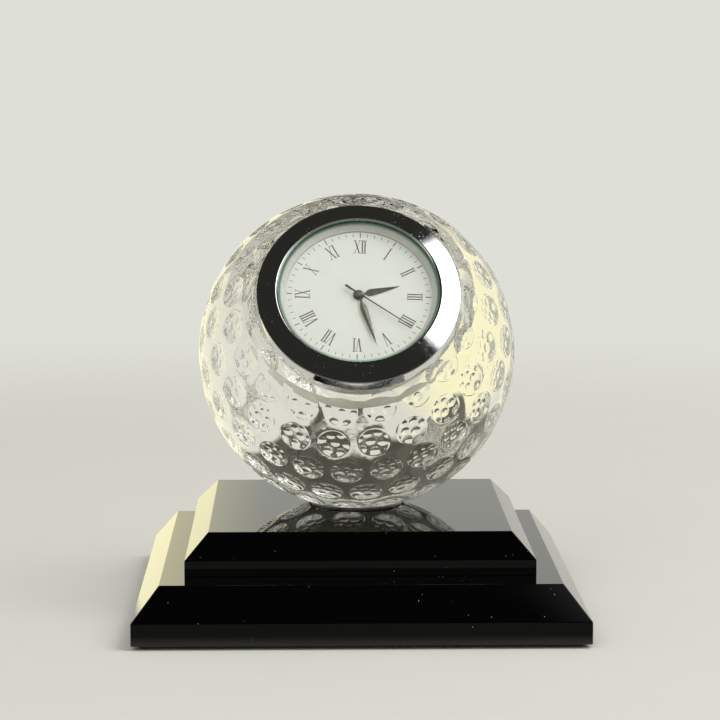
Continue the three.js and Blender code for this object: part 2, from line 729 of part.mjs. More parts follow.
function coilWinding() {
  const [cx, cy] = coilPlace;
  const body = rodAlongX(coilRadius, cx - coilLength / 2, cx + coilLength / 2, [cy, coilLayer], tubeSteps);
  const room = coreThickness / 2 + pivotGap;
  const width = coreWidth + 2 * pivotGap;
  return cut(body, block(coilLength + 2 * cutPast, width, coilLayer - room, coilLayer + room, coilPlace));
}

function crystalCan() {
  const [cx, cy] = canPlace;
  const geometry = new THREE.CylinderGeometry(canRadius, canRadius, canLength, tubeSteps);
  geometry.translate(cx, cy, plateBottom - seatGap - canRadius);
  return solid(geometry);
}

function stem() {
  const place = [0, stemLayer];
  const rod = rodAlongX(stemRadius, stemInner, crownReach - crownLength / 2, place);
  const half = grooveWidth / 2;
  const groove = rodAlongX(stemRadius * 2, groovePlace - half, groovePlace + half, place);
  const neckRadius = stemRadius - grooveDepth;
  const neck = rodAlongX(neckRadius, groovePlace - grooveWidth, groovePlace + grooveWidth, place);
  return join(cut(rod, groove), neck);
}

function crown() {
  const place = [0, stemLayer];
  const inner = crownReach - crownLength;
  const body = rodAlongX(crownRadius, inner, crownReach, place, discSteps);
  const knurls = Array.from({ length: crownKnurls }, (_, i) => {
    const knurl = polar(crownRadius, 360 * i / crownKnurls, place);
    return rodAlongX(knurlRadius, inner - cutPast, crownReach - crownRim, knurl, knurlSteps);
  });
  const stemEnd = crownReach - crownLength / 2;
  const stemRoom = rodAlongX(stemRadius + pivotGap, inner - cutPast, stemEnd + pivotGap, place);
  return cut(body, stemRoom, ...knurls);
}

// The lever's fork straddles the stem's groove
function settingLever() {
  const neck = stemRadius - grooveDepth + pivotGap;
  const low = stemLayer - stemRadius;
  const fork = block(leverWidth, leverLength, low, statorTop, [groovePlace, leverLength / 2 - stemRadius]);
  const groove = rodAlongX(neck, groovePlace - cutPast, groovePlace + cutPast, [0, stemLayer]);
  const mouth = block(leverWidth + 2 * cutPast, 2 * neck, low - cutPast, stemLayer, [groovePlace, 0]);
  return cut(fork, groove, mouth);
}

// A leaf-shaped hand along Y: narrow at the hub, widest in the middle, pointed
function leafHand(length, width, hubRadius, hole, level) {
  const half = width / 2;
  const neck = width * handNeck;
  const hubEdge = Math.sqrt(hubRadius ** 2 - neck ** 2);
  const start = hubEdge + neckLength;
  const [rise, wide, bend] = [leafRise, leafWide, leafBend].map((share) => share * length);
  const outline = new THREE.Shape();
  outline.moveTo(neck, hubEdge / 2);
  outline.lineTo(neck, start);
  outline.bezierCurveTo(neck, rise, half, rise, half, wide);
  outline.quadraticCurveTo(half, bend, 0, length);
  outline.quadraticCurveTo(-half, bend, -half, wide);
  outline.bezierCurveTo(-half, rise, -neck, rise, -neck, start);
  outline.lineTo(-neck, hubEdge / 2);
  const flat = { depth: handThickness, bevelEnabled: false, curveSegments };
  const geometry = new THREE.ExtrudeGeometry(outline, flat);
  geometry.translate(0, 0, level);
  const hub = disc(hubRadius, level, level + handThickness);
  return cut(join(solid(geometry), hub), disc(hole, level - cutPast, level + cutPast, centre, tubeSteps));
}

function secondHand() {
  const level = secondHandLevel;
  const top = level + handThickness;
  const tail = tailWidth / 2;
  const needle = plate([
    [-tail, -secondTail], [tail, -secondTail], [tail * tailNeck, -secondHub / 2],
    [secondWidth / 2, secondHub], [secondWidth / 4, secondLength], [-secondWidth / 4, secondLength],
    [-secondWidth / 2, secondHub], [-tail * tailNeck, -secondHub / 2],
  ], level, top);
  return cut(join(needle, disc(secondHub, level, top)),
    disc(arborRadius + handFit, level - cutPast, level + cutPast, centre, rodSteps));
}

function addHands(insert) {
  const hands = [
    ['hour_hand', leafHand(hourLength, hourWidth, hourHub, hourTubeRadius + handFit, hourHandLevel),
      hourAngle],
    ['minute_hand', leafHand(minuteLength, minuteWidth, minuteHub, cannonRadius + handFit, minuteHandLevel),
      minuteAngle],
    ['second_hand', secondHand(), secondAngle],
  ];
  for (const [name, body, angle] of hands) {
    const hand = named(name, body, handMetal);
    hand.rotation.z = -degrees(angle);
    insert.add(hand);
  }
}

function addInsert(clock) {
  const parts = {
    bezel: [bezel(), chrome],
    lens: [lens(), clearGlass],
    dial_ring: [dialRing(), ringGrey],
    dial: [dial(), dialSilver],
    case_barrel: [caseBarrel(), steel],
    grip_ring: [gripRing(), rubber],
    back_cover: [backCover(), steel],
    movement_holder: [movementHolder(), whitePlastic],
    main_plate: [mainPlate(), blackPlastic],
    train_bridge: [trainBridge(), blackPlastic],
    circuit_board: [circuitBoard(), boardGreen],
    button_cell: [buttonCell(), steel],
    battery_strap: [batteryStrap(), steel],
    stator: [stator(), steel],
    coil_core: [coilCore(), steel],
    coil_winding: [coilWinding(), copper],
    crystal_can: [crystalCan(), steel],
    stem: [stem(), steel],
    crown: [crown(), chrome],
    setting_lever: [settingLever(), steel],
  };
  addTrain(parts);
  postPlaces.forEach((place, i) => {
    parts[`bridge_screw_${i + 1}`] = [screw(place, boardBottom - pivotGap, plateBottom), steel];
  });
  parts.strap_screw = [screw(strapScrewPlace, strapBottom - pivotGap, plateBottom), steel];

  const insert = new THREE.Group();
  faceMatrix().decompose(insert.position, insert.quaternion, insert.scale);
  insert.position.add(new THREE.Vector3(0, ballBack, ballHeight));
  const turn = new THREE.Group();
  turn.rotation.z = -degrees(dialTurn);
  for (const [name, [body, material]] of Object.entries(parts)) turn.add(named(name, body, material));
  addHands(turn);
  insert.add(turn);
  clock.add(insert);
}

const clock = new THREE.Group();
clock.name = 'desk_clock';
addBase(clock);
addBall(clock);
addInsert(clock);

export default clock;
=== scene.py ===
# Desk clock: an insert clock in a dimpled glass ball, on two bevelled tiers of black glass.
# Sizes in the dictionaries are millimetres and angles are degrees, unless a note says otherwise. The sizes
# of grain, dust, gloss and marks are noise scales per metre, and a bump is its strength and height in metres.
import json
import math
import bpy
import bmesh
from mathutils import Matrix, Vector, geometry, noise


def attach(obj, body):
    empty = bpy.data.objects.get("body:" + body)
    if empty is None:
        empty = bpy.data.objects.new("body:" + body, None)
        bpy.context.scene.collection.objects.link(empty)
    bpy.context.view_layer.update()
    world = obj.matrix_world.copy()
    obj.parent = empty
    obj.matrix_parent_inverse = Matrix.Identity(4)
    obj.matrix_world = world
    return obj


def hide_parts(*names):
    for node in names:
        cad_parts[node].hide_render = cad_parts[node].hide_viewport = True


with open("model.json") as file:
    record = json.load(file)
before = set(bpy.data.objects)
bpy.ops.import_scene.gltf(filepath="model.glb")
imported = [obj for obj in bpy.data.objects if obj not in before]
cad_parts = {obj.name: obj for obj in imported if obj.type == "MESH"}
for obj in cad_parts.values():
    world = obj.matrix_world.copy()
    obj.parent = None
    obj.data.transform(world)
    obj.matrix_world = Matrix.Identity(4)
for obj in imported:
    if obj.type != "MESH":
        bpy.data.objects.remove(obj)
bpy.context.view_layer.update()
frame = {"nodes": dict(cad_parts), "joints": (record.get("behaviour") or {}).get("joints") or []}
nodes = frame["nodes"]
joints = {joint["name"]: joint for joint in frame["joints"]}
mm = 0.001
tiny, near = 1e-6, 1e-3  # below the first a length counts as nothing, below the second as touching
print("frame loaded:", len(nodes), "nodes")

# The insert clock's own axes: x to three o'clock, y to twelve, z out of the face
outward = Vector(joints["insert_slide"]["axis"]).normalized()
three = Vector(joints["crown_pull"]["axis"]).normalized()
twelve = outward.cross(three).normalized()
faceCentre = Vector(joints["second_spin"]["pos_m"])


def axesAt(x, y, z, origin):
    place = Matrix((x, y, z)).transposed().to_4x4()
    place.translation = origin
    return place


insertPlace = axesAt(three, twelve, outward, faceCentre)


# shared making of forms and pieces
def turnedForm(profile, steps, closed=False):
    # a list of (radius, height) turned about z; a closed profile makes a ring
    form = bmesh.new()
    loops = []
    for radius, height in profile:
        if radius < tiny:
            loops.append([form.verts.new((0, 0, height))])
            continue
        loops.append([form.verts.new((radius * math.cos(2 * math.pi * i / steps),
                                      radius * math.sin(2 * math.pi * i / steps), height))
                      for i in range(steps)])
    pairs = list(zip(loops, loops[1:]))
    if closed:
        pairs.append((loops[-1], loops[0]))
    for a, b in pairs:
        for i in range(steps):
            j = (i + 1) % steps
            corners = [a[i % len(a)], a[j % len(a)], b[j % len(b)], b[i % len(b)]]
            if len(a) == 1:
                corners = [a[0], b[j], b[i]]
            elif len(b) == 1:
                corners = [a[i], a[j], b[0]]
            form.faces.new(corners)
    bmesh.ops.recalc_face_normals(form, faces=form.faces[:])
    return form


def softened(corners, closed=False, steps=4):
    # corners are (radius, height) or (radius, height, rounding)
    points = []
    last = len(corners) - 1
    for i, corner in enumerate(corners):
        at = Vector(corner[:2])
        if len(corner) < 3 or (not closed and i in (0, last)):
            points.append(tuple(at))
            continue
        toBefore = (Vector(corners[i - 1][:2]) - at).normalized()
        toAfter = (Vector(corners[(i + 1) % len(corners)][:2]) - at).normalized()
        half = toBefore.angle(toAfter) / 2
        middle = at + (toBefore + toAfter).normalized() * corner[2] / math.sin(half)
        reach = corner[2] / math.tan(half)
        start, end = at + toBefore * reach - middle, at + toAfter * reach - middle
        for k in range(steps + 1):
            points.append(tuple(middle + start.lerp(end, k / steps).normalized() * corner[2]))
    return points


def roundEdges(form, width):
    bmesh.ops.bevel(form, geom=form.edges[:], offset=width, segments=3, profile=0.5, affect="EDGES")


def addPiece(name, form, place, body, materials, replaced=(), level=True, smooth=True):
    mesh = bpy.data.meshes.new(name)
    form.transform(place @ Matrix.Scale(mm, 4))
    form.to_mesh(mesh)
    form.free()
    for material in materials:
        mesh.materials.append(material)
    for face in mesh.polygons:
        face.use_smooth = smooth
    piece = bpy.data.objects.new(name, mesh)
    bpy.context.scene.collection.objects.link(piece)
    if level:  # keeps flat faces flat beside their rounded edges
        weighted = piece.modifiers.new("evenNormals", "WEIGHTED_NORMAL")
        weighted.keep_sharp = True
        weighted.weight = 100
    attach(piece, body)
    if replaced:
        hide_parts(*replaced)


# effects that several finishes share; a pair is the part of a noise over which the effect comes in
effects = {
    "wiped": (0.4, 0.68), "wipedFineness": 14.0,
    "speck": (0.08, 0.16), "speckPatches": (0.45, 0.6),
    "grain": (0.35, 0.65), "grainWide": 0.05, "grainShares": (0.6, 0.4), "shadeGrain": 0.4,
    "markTurns": (0.5, 2.2), "markTilt": 0.4,  # radians
    "markSquash": 0.04, "mark": (0.66, 0.74),
}
lampsThrough = (0.92, 0.925, 0.91)  # what clear glass leaves of a lamp's light


def newGroup(name, inputs, outputs):
    tree = bpy.data.node_groups.new(name, "ShaderNodeTree")
    for label, value in inputs.items():
        socket = tree.interface.new_socket(label, in_out="INPUT", socket_type="NodeSocketFloat")
        socket.default_value = value
    for label in outputs:
        tree.interface.new_socket(label, in_out="OUTPUT", socket_type="NodeSocketFloat")
    return tree, tree.nodes.new("NodeGroupInput"), tree.nodes.new("NodeGroupOutput")


def addNode(tree, kind, settings=None, **values):
    node = tree.nodes.new(kind)
    for label, value in (settings or {}).items():
        setattr(node, label, value)
    for label, value in values.items():
        node.inputs[label].default_value = value
    return node


def objectPlace(tree):
    return tree.nodes.new("ShaderNodeTexCoord").outputs["Object"]


def given(tree, socket, value):
    # a number or a colour is set on the socket, another node's output is linked to it
    if isinstance(value, tuple):
        socket.default_value = (*value, 1)
    elif isinstance(value, (int, float)):
        socket.default_value = value
    else:
        tree.links.new(value, socket)


def noiseAt(tree, vector, scale, detail=2.0, roughness=0.5):
    node = addNode(tree, "ShaderNodeTexNoise", Detail=detail, Roughness=roughness)
    tree.links.new(vector, node.inputs["Vector"])
    given(tree, node.inputs["Scale"], scale)
    return node.outputs["Fac"]


def ranged(tree, value, ends, toLow=0.0, toHigh=1.0):
    # maps the range between the two ends softly to toLow..toHigh, each a number or a socket
    node = addNode(tree, "ShaderNodeMapRange", {"interpolation_type": "SMOOTHSTEP"})
    for label, each in (("Value", value), ("From Min", ends[0]), ("From Max", ends[1]),
                        ("To Min", toLow), ("To Max", toHigh)):
        given(tree, node.inputs[label], each)
    return node.outputs["Result"]


def calculated(tree, operation, first, *others):
    # a sum, product or the like of numbers and sockets, taken one after the other
    for other in others or (0.0,):
        node = addNode(tree, "ShaderNodeMath", {"operation": operation})
        given(tree, node.inputs[0], first)
        given(tree, node.inputs[1], other)
        first = node.outputs[0]
    return first


def vectorResult(tree, operation, vector, fixed=None):
    node = addNode(tree, "ShaderNodeVectorMath", {"operation": operation})
    tree.links.new(vector, node.inputs[0])
    if fixed is not None:
        node.inputs[1].default_value = fixed
    return node.outputs["Value" if operation in ("DISTANCE", "LENGTH", "DOT_PRODUCT") else "Vector"]


def separated(tree, vector):
    parts = tree.nodes.new("ShaderNodeSeparateXYZ")
    tree.links.new(vector, parts.inputs[0])
    return parts.outputs


def mixedColour(tree, share, a, b):
    mix = addNode(tree, "ShaderNodeMix", {"data_type": "RGBA"})  # its colours are at places 6, 7 and 2
    for socket, each in ((mix.inputs[0], share), (mix.inputs[6], a), (mix.inputs[7], b)):
        given(tree, socket, each)
    return mix.outputs[2]


def makeHandledGloss():
    # faint wiped patches in a polish: a roughness between Low and High
    tree, values, out = newGroup(
        "handledGloss", {"Size": 250.0, "Low": 0.03, "High": 0.08}, ["Roughness", "Height"])
    place, size = objectPlace(tree), values.outputs["Size"]
    patches = noiseAt(tree, place, size, detail=4.0, roughness=0.6)
    result = ranged(tree, patches, effects["wiped"], values.outputs["Low"], values.outputs["High"])
    tree.links.new(result, out.inputs["Roughness"])
    fine = noiseAt(tree, place, calculated(tree, "MULTIPLY", size, effects["wipedFineness"]))
    tree.links.new(fine, out.inputs["Height"])
    return tree


def makeDust():
    # small separate specks: Mask is 1 on a speck
    tree, values, out = newGroup("restingDust", {"Size": 900.0, "Share": 0.1, "Patches": 60.0}, ["Mask"])
    place = objectPlace(tree)
    cells = addNode(tree, "ShaderNodeTexVoronoi", {"feature": "F1"})
    tree.links.new(place, cells.inputs["Vector"])
    tree.links.new(values.outputs["Size"], cells.inputs["Scale"])
    chosen = tree.nodes.new("ShaderNodeSeparateColor")
    tree.links.new(cells.outputs["Color"], chosen.inputs[0])
    speck = ranged(tree, cells.outputs["Distance"], effects["speck"], 1.0, 0.0)
    few = calculated(tree, "LESS_THAN", chosen.outputs[0], values.outputs["Share"])
    spread = noiseAt(tree, place, values.outputs["Patches"])
    where = ranged(tree, spread, effects["speckPatches"])
    tree.links.new(calculated(tree, "MULTIPLY", speck, few, where), out.inputs["Mask"])
    return tree


def makeGrain():
    # even fine grain for lacquers, mouldings and ground faces
    tree, values, out = newGroup("fineGrain", {"Size": 6000.0, "Low": 0.4, "High": 0.6}, ["Value", "Height"])
    place, size = objectPlace(tree), values.outputs["Size"]
    grain = noiseAt(tree, place, size, detail=3.0, roughness=0.6)
    wide = noiseAt(tree, place, calculated(tree, "MULTIPLY", size, effects["grainWide"]))
    fineShare, wideShare = effects["grainShares"]
    both = calculated(tree, "ADD", calculated(tree, "MULTIPLY", grain, fineShare),
                      calculated(tree, "MULTIPLY", wide, wideShare))
    result = ranged(tree, both, effects["grain"], values.outputs["Low"], values.outputs["High"])
    tree.links.new(result, out.inputs["Value"])
    tree.links.new(grain, out.inputs["Height"])
    return tree


def makeMarks():
    # fine straight marks left by wiping and brushing, along two crossing directions
    tree, values, out = newGroup("wipingMarks", {"Size": 300.0, "Stretch": 30.0}, ["Mask"])
    place = objectPlace(tree)
    masks = []
    for turn in effects["markTurns"]:
        turned = tree.nodes.new("ShaderNodeMapping")
        turned.inputs["Rotation"].default_value = (turn, effects["markTilt"], turn)
        tree.links.new(place, turned.inputs["Vector"])
        drawn = vectorResult(tree, "MULTIPLY", turned.outputs[0], (effects["markSquash"], 1, 1))
        size = calculated(tree, "MULTIPLY", values.outputs["Size"], values.outputs["Stretch"])
        masks.append(ranged(tree, noiseAt(tree, drawn, size, detail=1.0), effects["mark"]))
    tree.links.new(calculated(tree, "MAXIMUM", *masks), out.inputs["Mask"])
    return tree


handledGloss = makeHandledGloss()
restingDust = makeDust()
fineGrain = makeGrain()
wipingMarks = makeMarks()
print("shared effects made")


def newMaterial(name, settings):
    material = bpy.data.materials.new(name)
    material.use_nodes = True
    tree = material.node_tree
    shader = tree.nodes["Principled BSDF"]
    for label, value in settings.items():
        given(tree, shader.inputs[label], value)
    return material, tree, shader


def placedGroup(tree, group, **values):
    node = tree.nodes.new("ShaderNodeGroup")
    node.node_tree = group
    for label, value in values.items():
        node.inputs[label].default_value = value
    return node


def roughened(tree, shader, group, values):
    node = placedGroup(tree, group, **values)
    tree.links.new(node.outputs[0], shader.inputs["Roughness"])
    return node


def grainMask(tree, size):
    return placedGroup(tree, fineGrain, Size=size, Low=0.0, High=1.0)


def bumped(tree, shader, height, strength, distance):
    # the distance is in metres
    bump = addNode(tree, "ShaderNodeBump", Strength=strength, Distance=distance)
    tree.links.new(height, bump.inputs["Height"])
    tree.links.new(bump.outputs[0], shader.inputs["Normal"])


def tinted(tree, shader, mask, low, high):
    # base colour from low to high by a mask
    tree.links.new(mixedColour(tree, mask, low, high), shader.inputs["Base Color"])


def grainedMaterial(name, dark, light, rough, grain, bump=0.0, distance=2e-5, settings=None):
    # a plain finish with fine grain in its colour, roughness and surface
    material, tree, shader = newMaterial(name, settings or {})
    fine = roughened(tree, shader, fineGrain, {"Size": grain, "Low": rough[0], "High": rough[1]})
    tinted(tree, shader, grainMask(tree, grain * effects["shadeGrain"]).outputs["Value"], dark, light)
    if bump:
        bumped(tree, shader, fine.outputs["Height"], bump, distance)
    return material


def lightThrough(material):
    # lamps shine through the glass, while everything that is seen through it is bent
    tree = material.node_tree
    clear = tree.nodes.new("ShaderNodeBsdfTransparent")
    clear.inputs["Color"].default_value = (*lampsThrough, 1)
    mix = tree.nodes.new("ShaderNodeMixShader")
    path = tree.nodes.new("ShaderNodeLightPath")
    tree.links.new(path.outputs["Is Shadow Ray"], mix.inputs[0])
    tree.links.new(tree.nodes["Principled BSDF"].outputs[0], mix.inputs[1])
    tree.links.new(clear.outputs[0], mix.inputs[2])
    tree.links.new(mix.outputs[0], tree.nodes["Material Output"].inputs["Surface"])


# camera
camera = {
    "lens": 129.018, "sensor": 36, "at": (-9.86, -482.03, 107.64), "yaw": 1.2301, "pitch": 7.278,
    "near": 0.01, "far": 20,  # metres
}


def addCamera():
    yaw, pitch = math.radians(camera["yaw"]), math.radians(camera["pitch"])
    forward = Vector((math.sin(yaw) * math.cos(pitch), math.cos(yaw) * math.cos(pitch), -math.sin(pitch)))
    right = Vector((math.cos(yaw), -math.sin(yaw), 0))
    up = right.cross(forward)
    data = bpy.data.cameras.new("camera")
    data.lens, data.sensor_width = camera["lens"], camera["sensor"]
    data.clip_start, data.clip_end = camera["near"], camera["far"]
    holder = bpy.data.objects.new("camera", data)
    holder.matrix_world = axesAt(right, up, -forward, Vector(camera["at"]) * mm)
    bpy.context.scene.collection.objects.link(holder)
    bpy.context.scene.camera = holder


addCamera()


# base: felt pad and two tiers of black glass
base = {
    "padSide": 78, "padThickness": 0.8, "padRounding": 0.25, "padWaviness": 0.05, "padWaves": 0.9,
    "padCuts": 40,
    "lowerSide": 81, "lowerTopSide": 71.5, "lowerBand": 4, "lowerBevel": 5.85,
    "upperSide": 63.1, "upperTopSide": 54.8, "upperBand": 2.9, "upperBevel": 4.45, "upperSetback": 2.9,
    "polishedEdge": 0.12,
    "black": (0.0003, 0.0003, 0.00035), "glass": {"IOR": 1.5},
    "gloss": {"Size": 120.0, "Low": 0.012, "High": 0.05},
    "dustColour": (0.42, 0.41, 0.37), "dust": {"Size": 1500.0, "Share": 0.04, "Patches": 70.0},
    "felt": {"Roughness": 0.95, "Sheen Weight": 0.35, "Sheen Roughness": 0.6},
    "feltDark": (0.006, 0.007, 0.007), "feltLight": (0.035, 0.038, 0.036),
    "fibres": 4200.0, "tangle": {"Size": 120.0, "Stretch": 22.0}, "tangleHeight": 0.5,
    "feltBump": (0.9, 0.00012),
}


def makeBlackGlass():
    material, tree, shader = newMaterial("blackGlass", base["glass"])
    roughened(tree, shader, handledGloss, base["gloss"])
    dust = placedGroup(tree, restingDust, **base["dust"])
    tinted(tree, shader, dust.outputs["Mask"], base["black"], base["dustColour"])
    return material


def tierForm(side, topSide, band, bevel):
    form = bmesh.new()
    loops = []
    for width, height in ((side, 0), (side, band), (topSide, band + bevel)):
        half = width / 2
        loops.append([form.verts.new((x * half, y * half, height))
                      for x, y in ((-1, -1), (1, -1), (1, 1), (-1, 1))])
    form.faces.new(reversed(loops[0]))
    form.faces.new(loops[-1])
    for low, high in zip(loops, loops[1:]):
        for i in range(4):
            form.faces.new((low[i], low[(i + 1) % 4], high[(i + 1) % 4], high[i]))
    roundEdges(form, base["polishedEdge"])
    return form


def makeFelt():
    material, tree, shader = newMaterial("blackFelt", base["felt"])
    fibres = grainMask(tree, base["fibres"])
    tinted(tree, shader, fibres.outputs["Value"], base["feltDark"], base["feltLight"])
    tangle = placedGroup(tree, wipingMarks, **base["tangle"])
    height = calculated(tree, "ADD", fibres.outputs["Height"],
                        calculated(tree, "MULTIPLY", tangle.outputs["Mask"], base["tangleHeight"]))
    bumped(tree, shader, height, *base["feltBump"])
    return material


def padForm():
    # a rounded block with a soft, slightly uneven skin
    half, thick = base["padSide"] / 2, base["padThickness"]
    form = bmesh.new()
    bmesh.ops.create_cube(form, size=1)
    bmesh.ops.scale(form, vec=(2 * half, 2 * half, thick), verts=form.verts[:])
    bmesh.ops.translate(form, vec=(0, 0, thick / 2), verts=form.verts[:])
    roundEdges(form, base["padRounding"])
    long = [edge for edge in form.edges if edge.calc_length() > half]
    bmesh.ops.subdivide_edges(form, edges=long, cuts=base["padCuts"], use_grid_fill=True)
    byPlace = sorted(form.faces, key=lambda face: tuple(face.calc_center_median()))
    order = {face: i for i, face in enumerate(byPlace)}
    form.faces.sort(key=order.get)  # so they come in the same order in every run
    for vert in form.verts:
        push = base["padWaviness"] * (noise.noise(vert.co * base["padWaves"]) * 0.5 + 0.5)
        vert.co.x -= math.copysign(push, vert.co.x)
        vert.co.y -= math.copysign(push, vert.co.y)
        if vert.co.z < thick / 2:
            vert.co.z += push
    return form


blackGlass = makeBlackGlass()
upperFoot = base["padThickness"] + base["lowerBand"] + base["lowerBevel"]
tiers = (("lower", 0, base["padThickness"]), ("upper", base["upperSetback"], upperFoot))
for which, back, height in tiers:
    form = tierForm(*(base[which + part] for part in ("Side", "TopSide", "Band", "Bevel")))
    place = Matrix.Translation((0, back * mm, height * mm))
    addPiece(which + "Tier", form, place, "root", [blackGlass], [which + "_tier"])
addPiece("feltPad", padForm(), Matrix.Identity(4), "root", [makeFelt()], ["base_pad"], level=False)
print("base made")


# glass ball: dimples set in rings, a ground face with a bore, a foot glued to the upper tier
ball = {
    "centre": (0, 5.6, 47), "radius": 30, "footCut": 1.4, "faceDistance": 21,
    "bore": 17.5, "boreDepth": 8.5, "boreChamfer": 0.35, "boreCorner": 0.5, "boreSteps": 128,
    "cornerAngles": (30, 60, 90), "boreFloorRings": (0.8, 0.5, 0.2),
    "dimple": 2.95, "dimpleDepth": 0.5, "rimBlend": 0.115, "dimplePitch": 14,
    "axisTilt": 32, "axisSide": -6, "ringStep": 13.3, "firstRing": 46.1, "ringTurns": (-1.2, -4.4, 0.2, 6),
    "shares": (0.3, 0.6, 0.8, 0.92, 0.96, 1.0, 1.04, 1.097), "segments": 36,
    "landStep": 1.5, "landMargin": 0.45, "landFrom": 28, "landFewest": 6,
    "cutWithin": 1e-5, "joinWithin": 1e-7,
    "glassColour": (0.98, 0.975, 0.93), "ior": 1.5, "gloss": {"Size": 140.0, "Low": 0.0, "High": 0.012},
    "flow": {"Size": 300.0, "Low": 0.0, "High": 1.0}, "flowBump": (0.12, 0.00004),
    "ground": {"Size": 9000.0, "Low": 0.14, "High": 0.3}, "groundRings": 700.0, "groundBump": (0.2, 0.00002),
    "groundDark": (0.84, 0.84, 0.79), "groundLight": (0.95, 0.95, 0.90),
    "wallClear": 0.1, "wallIor": 1.8, "floorClear": 0.8,
    "glueInset": 0.3, "glueThickness": 0.4, "glueSteps": 128,
    "glueWaist": ((0.2, 0.1), (0.5, 0.14), (0.8, 0.1)),  # shares of its thickness, and insets
    "glue": {"Base Color": (0.6, 0.61, 0.57), "Transmission Weight": 0.85, "IOR": 1.48},
    "glueGrain": {"Size": 2500.0, "Low": 0.08, "High": 0.25}, "glueBump": (0.3, 0.00005),
    # the glue joins the foot to black glass, so it looks dark from inside the ball
    "gluedFoot": {"dark": (0.03, 0.03, 0.027), "light": (0.06, 0.06, 0.054), "rough": (0.35, 0.5),
                  "grain": 3000.0},
}
boreWall, gluedFoot, boreFloor = 1, 2, 3  # which of the ball's finishes a face takes; the rest is clear


def tipped(axis, across, along, tip, around):
    # a direction tipped away from an axis, and turned round it
    side = across * math.cos(around) + along * math.sin(around)
    return axis * math.cos(tip) + side * math.sin(tip)


def dimpleDirections():
    tilt, side = math.radians(ball["axisTilt"]), math.radians(ball["axisSide"])
    axis = Vector((math.sin(side) * math.cos(tilt), -math.cos(side) * math.cos(tilt), math.sin(tilt)))
    across = Vector((0, 0, 1)).cross(axis).normalized()
    down = across.cross(axis)
    directions, turn, ring, angle = [], 0, 0, ball["firstRing"]
    while angle < 180 - ball["ringStep"] / 2:
        tip = math.radians(angle)
        count = math.floor(360 * math.sin(tip) / ball["dimplePitch"] + 0.5)
        turn = ball["ringTurns"][ring] if ring < len(ball["ringTurns"]) else turn + 180 / count
        for i in range(count):
            directions.append(tipped(axis, down, across, tip, math.radians(turn + 360 * i / count)))
        ring += 1
        angle += ball["ringStep"]
    return directions + [-axis]


def dimpleReach(angle):
    # distance of the surface from the ball's middle, at an angle from a dimple's axis
    radius, depth, blend = ball["radius"], ball["dimpleDepth"], ball["rimBlend"]
    capRadius = (ball["dimple"] ** 2 + depth ** 2) / (2 * depth)
    capCentre = math.sqrt(radius ** 2 - ball["dimple"] ** 2) - depth + capRadius
    reach = capCentre * math.cos(angle) - math.sqrt(capRadius ** 2 - (capCentre * math.sin(angle)) ** 2)
    share = min(max(0.5 + 0.5 * (radius - reach) / blend, 0), 1)
    return radius + (reach - radius) * share - blend * share * (1 - share)


def addDimples(form, middles):
    # each dimple is a round net of faces; its outer loop lies on the sphere
    spread = math.asin(ball["dimple"] / ball["radius"])
    segments = ball["segments"]
    outer = []
    for middle in middles:
        across = Vector((0, 0, 1)).cross(middle).normalized()
        along = middle.cross(across)
        loop = [form.verts.new(middle * dimpleReach(0))]
        for share in ball["shares"]:
            angle = spread * share
            reach = dimpleReach(angle)
            ring = []
            for k in range(segments):
                towards = tipped(middle, across, along, angle, 2 * math.pi * k / segments)
                ring.append(form.verts.new(towards * reach))
            for k in range(segments):
                n = (k + 1) % segments
                if len(loop) == 1:
                    form.faces.new((loop[0], ring[k], ring[n]))
                else:
                    form.faces.new((loop[k], ring[k], ring[n], loop[n]))
            loop = ring
        outer.append(loop)
    return outer


def addLands(form, middles, outer):
    # the surface between the dimples: triangles over their loops and loose points, laid out flat
    along = outward.cross(three)
    step = ball["landStep"]
    spread = math.asin(ball["dimple"] / ball["radius"])
    reach = math.cos(spread * ball["shares"][-1] + math.radians(step * ball["landMargin"]))
    corners = [vert for loop in outer for vert in loop]
    owner = [i for i, loop in enumerate(outer) for _ in loop]
    for row in range(int(180 / step)):
        tip = math.radians(step * (row + 0.5))
        if tip < math.radians(ball["landFrom"]):
            continue
        count = max(ball["landFewest"], round(360 * math.sin(tip) / step))
        for i in range(count):
            point = tipped(outward, three, along, tip, 2 * math.pi * (i + 0.5 * (row % 2)) / count)
            if all(point.dot(middle) < reach for middle in middles):
                corners.append(form.verts.new(point * ball["radius"]))
                owner.append(-1)
    flat = []
    for vert in corners:
        direction = vert.co.normalized()
        flat.append(Vector((direction.dot(three), direction.dot(along))) / (1 - direction.dot(outward)))
    made = geometry.delaunay_2d_cdt(flat, [], [], 0, ball["joinWithin"], True)
    source = [found[0] for found in made[3]]
    for face in made[2]:
        a, b, c = (source[i] for i in face)
        if owner[a] == owner[b] == owner[c] != -1:
            continue
        form.faces.new((corners[a], corners[b], corners[c]))


def cutAway(form, point, normal):
    # takes off what lies beyond a plane, and gives the open edges that are left on it
    everything = form.verts[:] + form.edges[:] + form.faces[:]
    bmesh.ops.bisect_plane(form, geom=everything, dist=ball["cutWithin"], plane_co=point, plane_no=normal,
                           clear_outer=True)
    return [edge for edge in form.edges if edge.is_boundary
            and all(abs((vert.co - point).dot(normal)) < near for vert in edge.verts)]


def filled(form, edges, normal):
    made = bmesh.ops.triangle_fill(form, use_beauty=True, edges=edges, normal=normal)["geom"]
    return [item for item in made if isinstance(item, bmesh.types.BMFace)]


